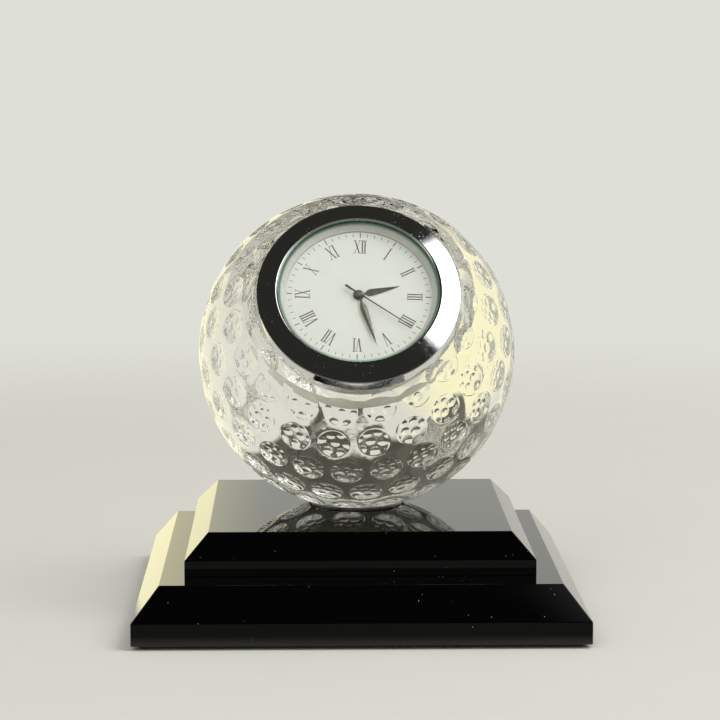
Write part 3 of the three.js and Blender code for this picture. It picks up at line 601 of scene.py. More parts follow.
def addBore(form, rim):
    # the ground face round the bore, its chamfer, wall and floor
    steps, at = ball["boreSteps"], outward * ball["faceDistance"]
    corner, depth, radius = ball["boreCorner"], -ball["boreDepth"], ball["bore"]

    def loopAt(size, height):
        loop = []
        for i in range(steps):
            around = 2 * math.pi * i / steps
            side = three * math.cos(around) + twelve * math.sin(around)
            loop.append(form.verts.new(at + outward * height + side * size))
        return loop

    first = loopAt(radius + ball["boreChamfer"], 0)
    circle = [form.edges.new((first[i], first[(i + 1) % steps])) for i in range(steps)]
    face = filled(form, rim + circle, outward)
    outline = [(radius, -ball["boreChamfer"]), (radius, depth / 2), (radius, depth + corner)]
    for angle in ball["cornerAngles"]:
        turn = math.radians(angle)
        outline.append((radius - corner * (1 - math.cos(turn)), depth + corner * (1 - math.sin(turn))))
    outline += [(radius * share, depth) for share in ball["boreFloorRings"]]
    last, walls = first, []
    for size, height in outline:
        loop = loopAt(size, height)
        walls += [form.faces.new((last[i], last[(i + 1) % steps], loop[(i + 1) % steps], loop[i]))
                  for i in range(steps)]
        last = loop
    middle = form.verts.new(at + outward * depth)
    walls += [form.faces.new((last[i], last[(i + 1) % steps], middle)) for i in range(steps)]
    for wall in walls:
        level = all(abs((vert.co - at).dot(outward) - depth) < near for vert in wall.verts)
        wall.material_index = boreFloor if level else boreWall
    return face, walls


def ballForm():
    form = bmesh.new()
    middles = dimpleDirections()
    addLands(form, middles, addDimples(form, middles))
    footAt, down = Vector((0, 0, ball["footCut"] - ball["radius"])), Vector((0, 0, -1))
    foot = filled(form, cutAway(form, footAt, down), down)
    for face in foot:
        face.material_index = gluedFoot
    rim = cutAway(form, outward * ball["faceDistance"], outward)
    flat, walls = addBore(form, rim)
    form.normal_update()
    bmesh.ops.recalc_face_normals(form, faces=form.faces[:])
    groups = (set(flat) | set(foot), set(walls[:ball["boreSteps"]]))
    for edge in form.edges:
        sides = edge.link_faces
        if len(sides) == 2 and any((sides[0] in group) != (sides[1] in group) for group in groups):
            edge.smooth = False
    print("ball:", len(form.faces), "faces,", sum(edge.is_boundary for edge in form.edges), "open edges")
    return form


def makeClearGlass():
    material, tree, shader = newMaterial("pressedGlass", {
        "Base Color": ball["glassColour"], "Transmission Weight": 1.0, "IOR": ball["ior"]})
    roughened(tree, shader, handledGloss, ball["gloss"])
    flow = placedGroup(tree, handledGloss, **ball["flow"])
    bumped(tree, shader, flow.outputs["Roughness"], *ball["flowBump"])
    lightThrough(material)
    return material


def makeGroundGlass(name, clear, ior):
    # frosted by the drill: partly white, partly see-through
    material, tree, shader = newMaterial(name, {"Transmission Weight": clear, "IOR": ior})
    grain = roughened(tree, shader, fineGrain, ball["ground"])
    rings = grainMask(tree, ball["groundRings"])
    tinted(tree, shader, rings.outputs["Value"], ball["groundDark"], ball["groundLight"])
    bumped(tree, shader, grain.outputs["Height"], *ball["groundBump"])
    lightThrough(material)
    return material


def makeGlue():
    material, tree, shader = newMaterial("clearGlue", ball["glue"])
    grain = roughened(tree, shader, fineGrain, ball["glueGrain"])
    bumped(tree, shader, grain.outputs["Height"], *ball["glueBump"])
    return material


ballFinishes = [
    makeClearGlass(), makeGroundGlass("groundWall", ball["wallClear"], ball["wallIor"]),
    grainedMaterial("gluedFoot", **ball["gluedFoot"]),
    makeGroundGlass("groundFloor", ball["floorClear"], ball["ior"])]
ballPlace = Matrix.Translation(Vector(ball["centre"]) * mm)
addPiece("glassBall", ballForm(), ballPlace, "root", ballFinishes, ["glass_ball"], level=False)
footRadius = math.sqrt(ball["radius"] ** 2 - (ball["radius"] - ball["footCut"]) ** 2)
glueRadius, glueHigh = footRadius - ball["glueInset"], ball["glueThickness"]
glueBottom = ball["centre"][2] - ball["radius"] + ball["footCut"] - glueHigh
glueProfile = [(0, 0), (glueRadius, 0)]
glueProfile += [(glueRadius - inset, glueHigh * share) for share, inset in ball["glueWaist"]]
glueProfile += [(glueRadius, glueHigh), (0, glueHigh)]
glueForm = turnedForm(glueProfile, ball["glueSteps"])
gluePlace = Matrix.Translation(Vector((0, ball["centre"][1], glueBottom)) * mm)
addPiece("glueDisc", glueForm, gluePlace, "root", [makeGlue()], ["ball_adhesive"])
print("ball made")


# insert clock: bezel, lens, dial ring and dial
insert = {
    "steps": 192, "seatGap": 0.15,
    "bezelFoot": 19.4, "bezelEdge": 18.65, "bezelSide": 1.75, "bezelFront": 2.95, "bezelOpening": 14.8,
    "footRounding": 0.06, "edgeOut": 0.05, "edgeBelow": 0.12, "edgeRounding": 0.05, "edgeIn": 0.1,
    "shoulderRounding": 0.06, "lip": 0.38, "lipRounding": 0.16, "throatHigh": 0.22, "throatRounding": 0.1,
    "lensSeat": 16.05, "lensClearance": 0.12,
    "lens": 15.9, "lensTop": 2.45, "lensThickness": 0.85, "lensBevel": 0.2, "lensFootBevel": 0.08,
    "dialOpening": 13.45, "dialRingTop": 14.9, "ringGap": 0.075, "ringFoot": 0.2, "ringRounding": 0.08,
    "dialTop": 0.35, "dialThickness": 0.35, "dialHole": 0.9, "dialRounding": 0.05, "holeRounding": 0.04,
    "dialLoop": 8,
    "chrome": (0.78, 0.79, 0.78), "gloss": {"Size": 420.0, "Low": 0.03, "High": 0.09},
    "marks": {"Size": 260.0, "Stretch": 24.0}, "markRoughness": 0.06, "markBump": (0.08, 0.00002),
    "specks": (0.95, 0.95, 0.93), "speckRoughness": 0.5,
    "dust": {"Size": 1500.0, "Share": 1.0, "Patches": 170.0},
    "lensColour": (0.98, 0.985, 0.975), "lensEdge": (0.32, 0.50, 0.40), "lensEdgeFrom": (14.15, 14.55),
    "lensIor": 1.5, "lensGloss": {"Size": 160.0, "Low": 0.0, "High": 0.01},
    "dialColour": (0.64, 0.65, 0.61), "dialShade": 0.96,
    "dialFinish": {"rough": (0.45, 0.6), "grain": 16000.0, "bump": 0.12, "distance": 8e-6},
    "ring": {"dark": (0.44, 0.445, 0.415), "light": (0.53, 0.535, 0.505), "rough": (0.3, 0.42),
             "grain": 7000.0, "bump": 0.1},
}


def makeChrome():
    material, tree, shader = newMaterial("polishedChrome", {"Metallic": 1.0})
    gloss = placedGroup(tree, handledGloss, **insert["gloss"])
    marks = placedGroup(tree, wipingMarks, **insert["marks"]).outputs["Mask"]
    dust = placedGroup(tree, restingDust, **insert["dust"]).outputs["Mask"]
    raised = calculated(tree, "ADD", gloss.outputs["Roughness"],
                        calculated(tree, "MULTIPLY", marks, insert["markRoughness"]),
                        calculated(tree, "MULTIPLY", dust, insert["speckRoughness"]))
    tree.links.new(raised, shader.inputs["Roughness"])
    tinted(tree, shader, dust, insert["chrome"], insert["specks"])
    bumped(tree, shader, marks, *insert["markBump"])
    return material


def makeLensGlass():
    # clear, with the green of its edge showing near the bezel
    material, tree, shader = newMaterial("lensGlass", {"Transmission Weight": 1.0, "IOR": insert["lensIor"]})
    top = insertPlace @ Vector((0, 0, insert["lensTop"] * mm))
    toMiddle = vectorResult(tree, "DISTANCE", objectPlace(tree), top)
    rim = ranged(tree, toMiddle, [reach * mm for reach in insert["lensEdgeFrom"]])
    tinted(tree, shader, rim, insert["lensColour"], insert["lensEdge"])
    roughened(tree, shader, handledGloss, insert["lensGloss"])
    lightThrough(material)
    return material


def makeDialLacquer():
    low = tuple(insert["dialShade"] * value for value in insert["dialColour"])
    return grainedMaterial("dialLacquer", low, insert["dialColour"], **insert["dialFinish"])


def bezelProfile():
    # from the lens seat out over the flared side, up the cone and into the opening
    seat, edge, opening = insert["lensSeat"], insert["bezelEdge"], insert["bezelOpening"]
    low, side, glass = insert["seatGap"], insert["bezelSide"], insert["lensTop"]
    return softened([
        (seat, low), (insert["bezelFoot"], low, insert["footRounding"]),
        (edge + insert["edgeOut"], side - insert["edgeBelow"], insert["edgeRounding"]),
        (edge - insert["edgeIn"], side, insert["shoulderRounding"]),
        (opening + insert["lip"], insert["bezelFront"], insert["lipRounding"]),
        (opening, glass + insert["throatHigh"], insert["throatRounding"]),
        (opening, glass + insert["lensClearance"]), (seat, glass + insert["lensClearance"])], closed=True)


def lensProfile():
    size, top, bevel, foot = insert["lens"], insert["lensTop"], insert["lensBevel"], insert["lensFootBevel"]
    under = top - insert["lensThickness"]
    return [(0, under), (size / 2, under), (size - foot, under), (size, under + foot), (size, top - bevel),
            (size - bevel, top), (size / 2, top), (0, top)]


def ringProfile():
    low = insert["dialTop"] + insert["ringGap"]
    high = insert["lensTop"] - insert["lensThickness"] - insert["ringGap"]
    soft = insert["ringRounding"]
    return softened([
        (insert["dialOpening"], low), (insert["lens"], low), (insert["lens"], high),
        (insert["dialRingTop"], high, soft),
        (insert["dialOpening"], low + insert["ringFoot"], soft)], closed=True)


def dialProfile():
    top, size, hole = insert["dialTop"], insert["lens"], insert["dialHole"]
    low = top - insert["dialThickness"]
    return softened([(hole, low), (size, low), (size, top, insert["dialRounding"]), (insert["dialLoop"], top),
                     (hole, top, insert["holeRounding"])], closed=True)


def addTurned(name, profile, material, node, closed=True, body="insert", steps=insert["steps"]):
    addPiece(name, turnedForm(profile, steps, closed), insertPlace, body, [material], [node])


chrome = makeChrome()
addTurned("bezel", bezelProfile(), chrome, "bezel")
addTurned("lens", lensProfile(), makeLensGlass(), "lens", closed=False)
addTurned("dialRing", ringProfile(), grainedMaterial("ringGrey", **insert["ring"]), "dial_ring")
addTurned("dial", dialProfile(), makeDialLacquer(), "dial")
print("insert front made")


# printed numerals and minute track
printed = {
    "numerals": ["XII", "I", "II", "III", "IIII", "V", "VI", "VII", "VIII", "IX", "X", "XI"],
    "inner": 8.92, "outer": 11.65, "thick": 0.22, "thin": 0.09, "serif": 0.17, "serifLine": 0.085,
    "stroke": 0.5, "vWidth": 1.0, "xWidth": 1.05, "gap": 0.32, "vCloser": 0.1, "xInnerSerif": 0.6,
    "tickInner": 12.35, "tickOuter": 13.0, "tickWidth": 0.1,
    "hourInner": 12.2, "hourOuter": 13.25, "hourWidth": 0.17,
    "height": 0.012,
    "ink": {"dark": (0.035, 0.037, 0.03), "light": (0.075, 0.078, 0.066), "rough": (0.5, 0.7),
            "grain": 20000.0},
}


def addStroke(form, place, start, end, width):
    # a printed line with square ends cut along the numeral's top and foot
    half, (left, foot), (right, top) = width / 2, start, end
    corners = [(left - half, foot), (left + half, foot), (right + half, top), (right - half, top)]
    if abs(top - foot) < tiny:
        corners = [(left, foot - half), (right, foot - half), (right, foot + half), (left, foot + half)]
    low = [form.verts.new(place @ Vector((x, y, 0))) for x, y in corners]
    high = [form.verts.new(place @ Vector((x, y, printed["height"]))) for x, y in corners]
    form.faces.new(high)
    for i in range(4):
        j = (i + 1) % 4
        form.faces.new((low[i], low[j], high[j], high[i]))


def numeralStrokes(letters):
    # strokes of the letters from left to right: (start, end, width), and the width of them all
    tall = printed["outer"] - printed["inner"]
    thick, thin, serif, line = printed["thick"], printed["thin"], printed["serif"], printed["serifLine"]
    foot, top, short = line / 2, tall - line / 2, serif * printed["xInnerSerif"]
    strokes, at = [], 0
    for i, letter in enumerate(letters):
        if i:
            both = letters[i - 1] + letter
            gap = printed["gap"] - (printed["vCloser"] if "V" in both else 0)
            at += printed["stroke"] - thick if both == "II" else gap
        wide = {"I": thick, "V": printed["vWidth"], "X": printed["xWidth"]}[letter]
        end = at + wide
        if letter == "I":
            stems = [(at + thick / 2, at + thick / 2, thick)]
            serifs = [(at - serif, at + thick + serif)]
        elif letter == "V":
            stems = [(at + wide / 2, at + thick / 2, thick), (at + wide / 2, end - thin / 2, thin)]
            serifs = [(at - serif, at + thick + serif), (end - thin - serif, end + serif)]
        else:
            stems = [(end - thick / 2, at + thick / 2, thick), (at + thin / 2, end - thin / 2, thin)]
            serifs = [(at - serif, at + thick + short), (end - thick - short, end + serif)]
        strokes += [((low, 0), (high, tall), width) for low, high, width in stems]
        for height in ((top,) if letter == "V" else (foot, top)):
            strokes += [((left, height), (right, height), line) for left, right in serifs]
        at = end
    return strokes, at


def printForm():
    form = bmesh.new()
    for hour, letters in enumerate(printed["numerals"]):
        turn = Matrix.Rotation(-math.radians(30 * hour), 4, "Z")
        strokes, wide = numeralStrokes(letters)
        place = turn @ Matrix.Translation((-wide / 2, printed["inner"], insert["dialTop"]))
        for stroke in strokes:
            addStroke(form, place, *stroke)
    for minute in range(60):
        turn = Matrix.Rotation(-math.radians(6 * minute), 4, "Z")
        place = turn @ Matrix.Translation((0, 0, insert["dialTop"]))
        which = "tick" if minute % 5 else "hour"
        inner, outer, width = (printed[which + part] for part in ("Inner", "Outer", "Width"))
        addStroke(form, place, (0, inner), (0, outer), width)
    return form


ink = grainedMaterial("printingInk", **printed["ink"])
addPiece("dialPrint", printForm(), insertPlace, "insert", [ink], level=False, smooth=False)
print("dial printed")


# hands
hands = {
    "hour": {"angle": 74.5, "length": 7.6, "width": 1.35, "edge": 0.05, "hub": 1.05, "hubFoot": 0.1,
             "level": 0.51, "body": "hours"},
    "minute": {"angle": 161.5, "length": 11, "width": 1.25, "edge": 0.05, "hub": 0.85, "hubFoot": 0.1,
               "level": 0.82, "body": "minutes"},
    "second": {"angle": 124, "length": 11.8, "width": 0.25, "edge": 0.09, "hub": 0.7, "hubFoot": 0.11,
               "level": 1.13, "body": "seconds", "tail": 3, "tailWidth": 0.42,
               "tailNeck": (0.6, 0.8), "middle": (0.5, 0.8)},  # shares of the hub or length, and of the width
    "thickness": 0.15, "neck": 0.14, "neckLength": 0.1, "root": 0.4, "rise": 0.2, "wide": 0.29, "bend": 0.4,
    "tip": 0.02, "steps": (12, 16), "hubTop": 0.55, "hubRoundings": (0.02, 0.05, 0.06), "hubSteps": 48,
    "sharpFrom": 14,
    "metal": {"Metallic": 0.7, "Coat Weight": 0.3, "Coat Roughness": 0.15},
    "dark": (0.05, 0.052, 0.036), "light": (0.10, 0.10, 0.072), "shadeGrain": 1500.0,
    "grain": {"Size": 9000.0, "Low": 0.28, "High": 0.42}, "bump": (0.1, 0.000008),
}


def leafSides(hand):
    # (distance, half width) along a leaf hand, from the hub to the point
    half, neck = hand["width"] / 2, hand["width"] * hands["neck"]
    start = math.sqrt(hand["hub"] ** 2 - neck ** 2) + hands["neckLength"]
    rise, wide, bend = (hands[key] * hand["length"] for key in ("rise", "wide", "bend"))
    swelling, pointed = hands["steps"]
    sides = [(hand["hub"] * hands["root"], neck)]
    for k in range(swelling + 1):
        t = k / swelling
        u = 1 - t
        sides.append((u ** 3 * start + 3 * u * t * rise + t ** 3 * wide,
                      u ** 3 * neck + 3 * u ** 2 * t * neck + 3 * u * t * t * half + t ** 3 * half))
    for k in range(1, pointed + 1):
        t = k / pointed
        u = 1 - t
        sides.append((u ** 2 * wide + 2 * u * t * bend + t * t * hand["length"],
                      max(u ** 2 * half + 2 * u * t * half, hands["tip"])))
    return sides


def needleSides(hand):
    # the same along the second hand, from the end of its tail
    half, tail = hand["width"] / 2, hand["tailWidth"] / 2
    (neckAt, neckWide), (middleAt, middleWide) = hand["tailNeck"], hand["middle"]
    return [(-hand["tail"], tail), (-hand["hub"] * neckAt, tail * neckWide), (hand["hub"], half),
            (hand["length"] * middleAt, half * middleWide), (hand["length"], half / 2)]


def addBlade(form, sides, low, edge, ridge):
    # a bar with a raised middle line, from a list of (distance, half width)
    rings = []
    for distance, half in sides:
        rings.append([form.verts.new((x * half, distance, z)) for x, z in
                      ((-1, low), (-1, low + edge), (0, low + ridge), (1, low + edge), (1, low))])
    for a, b in zip(rings, rings[1:]):
        for i in range(5):
            j = (i + 1) % 5
            form.faces.new((a[i], b[i], b[j], a[j]))
    form.faces.new(rings[0])
    form.faces.new(reversed(rings[-1]))


def addHub(form, radius, low, thick, tall):
    atFoot, atEdge, atTop = hands["hubRoundings"]
    profile = softened([(0, low), (radius, low, atFoot), (radius, low + thick, atEdge),
                        (radius * hands["hubTop"], low + tall, atTop), (0, low + tall)])
    hub = turnedForm(profile, hands["hubSteps"])
    mesh = bpy.data.meshes.new("hub")
    hub.to_mesh(mesh)
    hub.free()
    form.from_mesh(mesh)
    bpy.data.meshes.remove(mesh)


def handForm(name):
    hand = hands[name]
    form = bmesh.new()
    sides = needleSides(hand) if name == "second" else leafSides(hand)
    addBlade(form, sides, hand["level"], hand["edge"], hands["thickness"])
    addHub(form, hand["hub"], hand["level"], hand["hubFoot"], hands["thickness"])
    bmesh.ops.recalc_face_normals(form, faces=form.faces[:])
    for edge in form.edges:
        if len(edge.link_faces) == 2 and edge.calc_face_angle() > math.radians(hands["sharpFrom"]):
            edge.smooth = False
    form.transform(Matrix.Rotation(-math.radians(hand["angle"]), 4, "Z"))
    return form


def makeHandMetal():
    material, tree, shader = newMaterial("handMetal", hands["metal"])
    grain = roughened(tree, shader, fineGrain, hands["grain"])
    shade = grainMask(tree, hands["shadeGrain"])
    tinted(tree, shader, shade.outputs["Value"], hands["dark"], hands["light"])
    bumped(tree, shader, grain.outputs["Height"], *hands["bump"])
    return material


handMetal = makeHandMetal()
for name in ("hour", "minute", "second"):
    body = hands[name]["body"]
    addPiece(name + "Hand", handForm(name), insertPlace, body, [handMetal], [name + "_hand"])
print("hands made")


# behind the dial: back cover, grip ring and coil, and finishes for the nodes that stay
behind = {
    "coverRadius": 16.05, "coverLow": -7.4, "coverThickness": 0.8, "coverRim": 1.0, "coverRimHigh": -5.5,
    "coverSteps": 160, "coverRoundings": (0.3, 0.1, 0.1, 0.2),
    # the cover's pressed form: radius, height over its lowest face, rounding
    "coverForm": ((0, 0.15), (5.2, 0.15, 0.3), (5.8, 0, 0.3), (12.4, 0, 0.3), (12.8, 0.2, 0.15),
                  (13.4, 0.2, 0.15), (13.8, 0, 0.3)),
    "gripOuter": 17.4, "gripThickness": 0.65, "gripLow": -6.65, "gripWidth": 1.3, "gripSteps": 160,
    "gripRounding": 0.05, "gripShoulder": 0.2, "shoulderRounding": 0.1,
    "gripRibs": 3, "ribMargin": 0.1, "ribTop": (0.3, 0.7), "ribRounding": 0.04, "ribDepth": 0.18,
    "coilPlace": (-2.2, 7.3), "coilLevel": -3.6, "coilRadius": 0.9, "coilLength": 5.6, "coilTurns": 28,
    "wire": ((0.3, 0), (0.06, 0.25), (0, 0.5), (0.06, 0.75)),  # inset and place in shares of the wire's width
    "coilSteps": 40,
    "bevel": 0.06, "fineBevel": 0.02, "fineNodes": ("rotor", "circuit_board", "stem"), "bevelFrom": 32,
    "steelDark": (0.42, 0.43, 0.44), "steelLight": (0.56, 0.57, 0.58),
    "turned": {"Scale": 14000.0, "Detail": 3.0}, "turnedRange": (0.3, 0.7), "turnedRough": (0.22, 0.4),
    "turnedBump": (0.15, 0.00001),
    "rubber": {"dark": (0.010, 0.010, 0.010), "light": (0.022, 0.022, 0.021), "rough": (0.65, 0.85),
               "grain": 5000.0, "bump": 0.4},
    "copper": {"dark": (0.45, 0.19, 0.09), "light": (0.62, 0.29, 0.15), "rough": (0.22, 0.35),
               "grain": 9000.0, "bump": 0.1, "settings": {"Metallic": 1.0, "Coat Weight": 0.5}},
}


def makeTurnedSteel():
    # fine rings round the insert's axis
    material, tree, shader = newMaterial("turnedSteel", {"Metallic": 1.0})
    axis = insertPlace @ Vector((0, 0, behind["coverLow"] * mm))
    lines = addNode(tree, "ShaderNodeTexNoise", {"noise_dimensions": "1D"}, **behind["turned"])
    tree.links.new(vectorResult(tree, "DISTANCE", objectPlace(tree), axis), lines.inputs["W"])
    rings = lines.outputs["Fac"]
    rough = ranged(tree, rings, behind["turnedRange"], *behind["turnedRough"])
    tree.links.new(rough, shader.inputs["Roughness"])
    tinted(tree, shader, rings, behind["steelDark"], behind["steelLight"])
    bumped(tree, shader, rings, *behind["turnedBump"])
    return material


def coverProfile():
    low, radius, top = behind["coverLow"], behind["coverRadius"], behind["coverRimHigh"]
    inner, inside = radius - behind["coverRim"], low + behind["coverThickness"]
    corners = [(at, low + height, *soft) for at, height, *soft in behind["coverForm"]]
    rim = ((radius, low), (radius, top), (inner, top), (inner, inside))
    corners += [(*corner, soft) for corner, soft in zip(rim, behind["coverRoundings"])]
    return softened(corners + [(0, inside)])


def gripProfile():
    outer, low, wide, ribs = (behind[key] for key in ("gripOuter", "gripLow", "gripWidth", "gripRibs"))
    inner, shoulder = outer - behind["gripThickness"], outer - behind["gripShoulder"]
    soft, softRib, softShoulder = behind["gripRounding"], behind["ribRounding"], behind["shoulderRounding"]
    margin = behind["ribMargin"]
    points = [(inner, low, soft), (shoulder, low, softShoulder)]
    step = (wide - 2 * margin) / ribs
    for i in range(ribs):
        start = low + margin + (wide - 2 * margin) * i / ribs
        points += [(outer, start + step * share, softRib) for share in behind["ribTop"]]
        if i < ribs - 1:
            points.append((outer - behind["ribDepth"], start + step, softRib))
    points += [(shoulder, low + wide, softShoulder), (inner, low + wide, soft)]
    return softened(points, closed=True, steps=3)


def coilForm():
    # wire turns side by side
    turns, length, radius = behind["coilTurns"], behind["coilLength"], behind["coilRadius"]
    pitch = length / turns
    profile = [(0, -length / 2)]
    for i in range(turns):
        at = -length / 2 + pitch * i
        profile += [(radius - pitch * inset, at + pitch * along) for inset, along in behind["wire"]]
    profile += [(radius - pitch * behind["wire"][0][0], length / 2), (0, length / 2)]
    form = turnedForm(profile, behind["coilSteps"])
    place = Matrix.Translation((*behind["coilPlace"], behind["coilLevel"]))
    form.transform(place @ Matrix.Rotation(math.pi / 2, 4, "Y"))
    return form


turnedSteel = makeTurnedSteel()
rubber = grainedMaterial("blackRubber", **behind["rubber"])
copper = grainedMaterial("copperWire", **behind["copper"])
addTurned("backCover", coverProfile(), turnedSteel, "back_cover", closed=False,
          steps=behind["coverSteps"])
addTurned("gripRing", gripProfile(), rubber, "grip_ring", body="grip", steps=behind["gripSteps"])
addPiece("coilWinding", coilForm(), insertPlace, "insert", [copper], ["coil_winding"], level=False)


# finishes of the nodes that keep their own solid
plainFinishes = {
    "plainSteel": {"dark": behind["steelDark"], "light": behind["steelLight"], "rough": (0.24, 0.38),
                   "grain": 6000.0, "bump": 0.1, "settings": {"Metallic": 1.0}},
    "plainBrass": {"dark": (0.58, 0.44, 0.2), "light": (0.74, 0.59, 0.31), "rough": (0.22, 0.36),
                   "grain": 6000.0, "bump": 0.1, "settings": {"Metallic": 1.0}},
    "blackPlastic": {"dark": (0.014, 0.014, 0.015), "light": (0.026, 0.026, 0.028), "rough": (0.42, 0.6),
                     "grain": 7000.0, "bump": 0.3},
    "whitePlastic": {"dark": (0.68, 0.66, 0.6), "light": (0.78, 0.76, 0.7), "rough": (0.4, 0.55),
                     "grain": 7000.0, "bump": 0.2},
    "boardLacquer": {"dark": (0.012, 0.07, 0.035), "light": (0.03, 0.13, 0.065), "rough": (0.25, 0.4),
                     "grain": 2500.0, "bump": 0.2, "settings": {"Coat Weight": 0.4}},
}
keptNodes = {
    "turnedSteel": ("case_barrel", "button_cell"),
    "polishedChrome": ("crown",),
    "plainSteel": ("stem", "setting_lever", "battery_strap", "stator", "coil_core", "crystal_can", "rotor",
                   "bridge_screw_1", "bridge_screw_2", "bridge_screw_3", "strap_screw"),
    "plainBrass": ("second_wheel", "third_wheel", "centre_wheel", "minute_wheel", "hour_wheel"),
    "blackPlastic": ("main_plate", "train_bridge"),
    "whitePlastic": ("movement_holder", "intermediate_wheel"),
    "boardLacquer": ("circuit_board",),
}


def finishNode(name, material):
    node = nodes[name]
    node.data.materials.clear()
    node.data.materials.append(material)
    joined = node.modifiers.new("joinedCorners", "WELD")
    joined.merge_threshold = tiny
    edges = node.modifiers.new("softEdges", "BEVEL")
    fine = name.endswith("wheel") or name in behind["fineNodes"]
    edges.width = behind["fineBevel" if fine else "bevel"] * mm
    edges.segments = 2
    edges.limit_method = "ANGLE"
    edges.angle_limit = math.radians(behind["bevelFrom"])
    edges.use_clamp_overlap = True


keptFinishes = {"turnedSteel": turnedSteel, "polishedChrome": chrome}
for name, look in plainFinishes.items():
    keptFinishes[name] = grainedMaterial(name, **look)
for finish, names in keptNodes.items():
    for name in names:
        finishNode(name, keptFinishes[finish])
print("insert made")


# studio: a pale floor that sweeps up behind, soft lamps, and surroundings that are dim above and, for
# mirrors, in front; a pair of numbers is the range over which one thing goes over into another
studio = {
    "floorColour": (0.70, 0.685, 0.63), "floorShade": 0.985, "floorGrain": 40.0,
    "floor": {"Roughness": 0.9, "Specular IOR Level": 0.1},
    "floorSize": 2.6, "sweepAt": 1.0, "sweepRadius": 0.25, "sweepStep": 10, "wallHigh": 0.42,  # metres
    "floorFar": (0.18, 0.45),  # metres from the clock, where the floor turns into the plain background
    "pale": (0.73, 0.735, 0.68), "fill": (0.36, 0.36, 0.345),
    "front": (0.17, 0.17, 0.155), "above": (0.075, 0.071, 0.055), "dark": (0.024, 0.024, 0.021),
    "floorGlowForFrosted": (1.25, 1.2, 1.0),  # painted light: for rays from the frosted glass the floor glows this bright, more than its lamps light it; it stands in for what the pale floor throws up into the glass
    "level": (0.05, 0.2),  # heights up to which the pale surroundings light ground glass
    "frontFloor": (-0.052, -0.043),  # metres, where mirrors begin to show the dimness in front
    "glow": (1.02, 0.96, 0.64), "glowDirection": (-0.53, 0.84, -0.17), "glowCosines": (0.86, 0.97),
    "glowInMirrors": (1.48, 1.39, 0.90), "glowMirrored": (-0.10, -0.02),
    "behindFrom": (0.0, 0.35), "overheadFrom": (0.55, 1.0), "mirrorOverhead": (0.2, 0.45),
    "aheadFrom": (-0.8, -0.35),
    # the height where the dimness above begins, raised at the right and left and lowered in one streak
    "dimFrom": 0.234, "dimSoftness": (0.0, 0.045), "rightFrom": (0.3, 0.62), "rightRise": 0.24,
    "leftFrom": (-0.95, -0.62), "leftRise": 0.08,
    "streakAt": -0.44, "streakWide": (0.02, 0.1), "streakDepth": 0.17,
    "keyDirection": (0.541, -0.297, 0.786), "keyDistance": 1.2, "keySize": 0.95, "keyPower": 13.0,
    "keyFade": (0.3, 0.5),
    "fillDirection": (-0.25, -0.70, 0.67), "fillStrength": 1.2, "fillSoftness": 50,
    "bounces": 24,  # light goes to and fro many times inside the thick glass
}
ballMiddle = Vector(ball["centre"]) * mm


def surroundings(tree, direction, mirror):
    # what shows all round: pale, a warm glow at the left, dim above, and dim in front where mirror is 1
    x, y, z = separated(tree, direction)
    toGlow = vectorResult(tree, "DOT_PRODUCT", direction, Vector(studio["glowDirection"]).normalized())
    behindHere = ranged(tree, y, studio["behindFrom"])
    side = calculated(tree, "MULTIPLY", behindHere, mirror, ranged(tree, x, studio["glowMirrored"], 1.0, 0.0))
    glow = calculated(tree, "MAXIMUM", ranged(tree, toGlow, studio["glowCosines"]), side)
    glowColour = mixedColour(tree, mirror, studio["glow"], studio["glowInMirrors"])
    rightRise = ranged(tree, x, studio["rightFrom"], 0.0, studio["rightRise"])
    leftRise = ranged(tree, x, studio["leftFrom"], studio["leftRise"], 0.0)
    toStreak = calculated(tree, "ABSOLUTE", calculated(tree, "SUBTRACT", x, studio["streakAt"]))
    dip = ranged(tree, toStreak, studio["streakWide"], studio["streakDepth"], 0.0)
    rise = calculated(tree, "SUBTRACT", calculated(tree, "ADD", rightRise, leftRise), dip)
    edge = calculated(tree, "ADD", rise, studio["dimFrom"])
    over = ranged(tree, calculated(tree, "SUBTRACT", z, edge), studio["dimSoftness"])
    over = calculated(tree, "MULTIPLY", over, calculated(tree, "MAXIMUM", mirror, behindHere))
    inMirror = calculated(tree, "MULTIPLY", ranged(tree, y, studio["mirrorOverhead"], 1.0, 0.0), mirror)
    overhead = calculated(tree, "MAXIMUM", ranged(tree, z, studio["overheadFrom"]), inMirror)
    upper = mixedColour(tree, overhead, studio["above"], studio["dark"])
    ahead = calculated(tree, "MULTIPLY", ranged(tree, y, studio["aheadFrom"], 1.0, 0.0), mirror)
    low = mixedColour(tree, ahead, mixedColour(tree, glow, studio["pale"], glowColour), studio["front"])
    return mixedColour(tree, over, low, upper), glow


def rayKinds(tree):
    # 1 for what the camera sees, what a mirror shows it, what a mirror or clear glass shows it, and for
    # what any glass lets through
    path = tree.nodes.new("ShaderNodeLightPath")
    glossy, through = path.outputs["Is Glossy Ray"], path.outputs["Is Transmission Ray"]
    mirror = calculated(tree, "MULTIPLY", glossy, calculated(tree, "SUBTRACT", 1.0, through))
    clear = calculated(tree, "LESS_THAN", path.outputs["Diffuse Depth"], 0.5)
    shown = calculated(tree, "MULTIPLY", calculated(tree, "MAXIMUM", glossy, through), clear)
    return path.outputs["Is Camera Ray"], mirror, shown, through


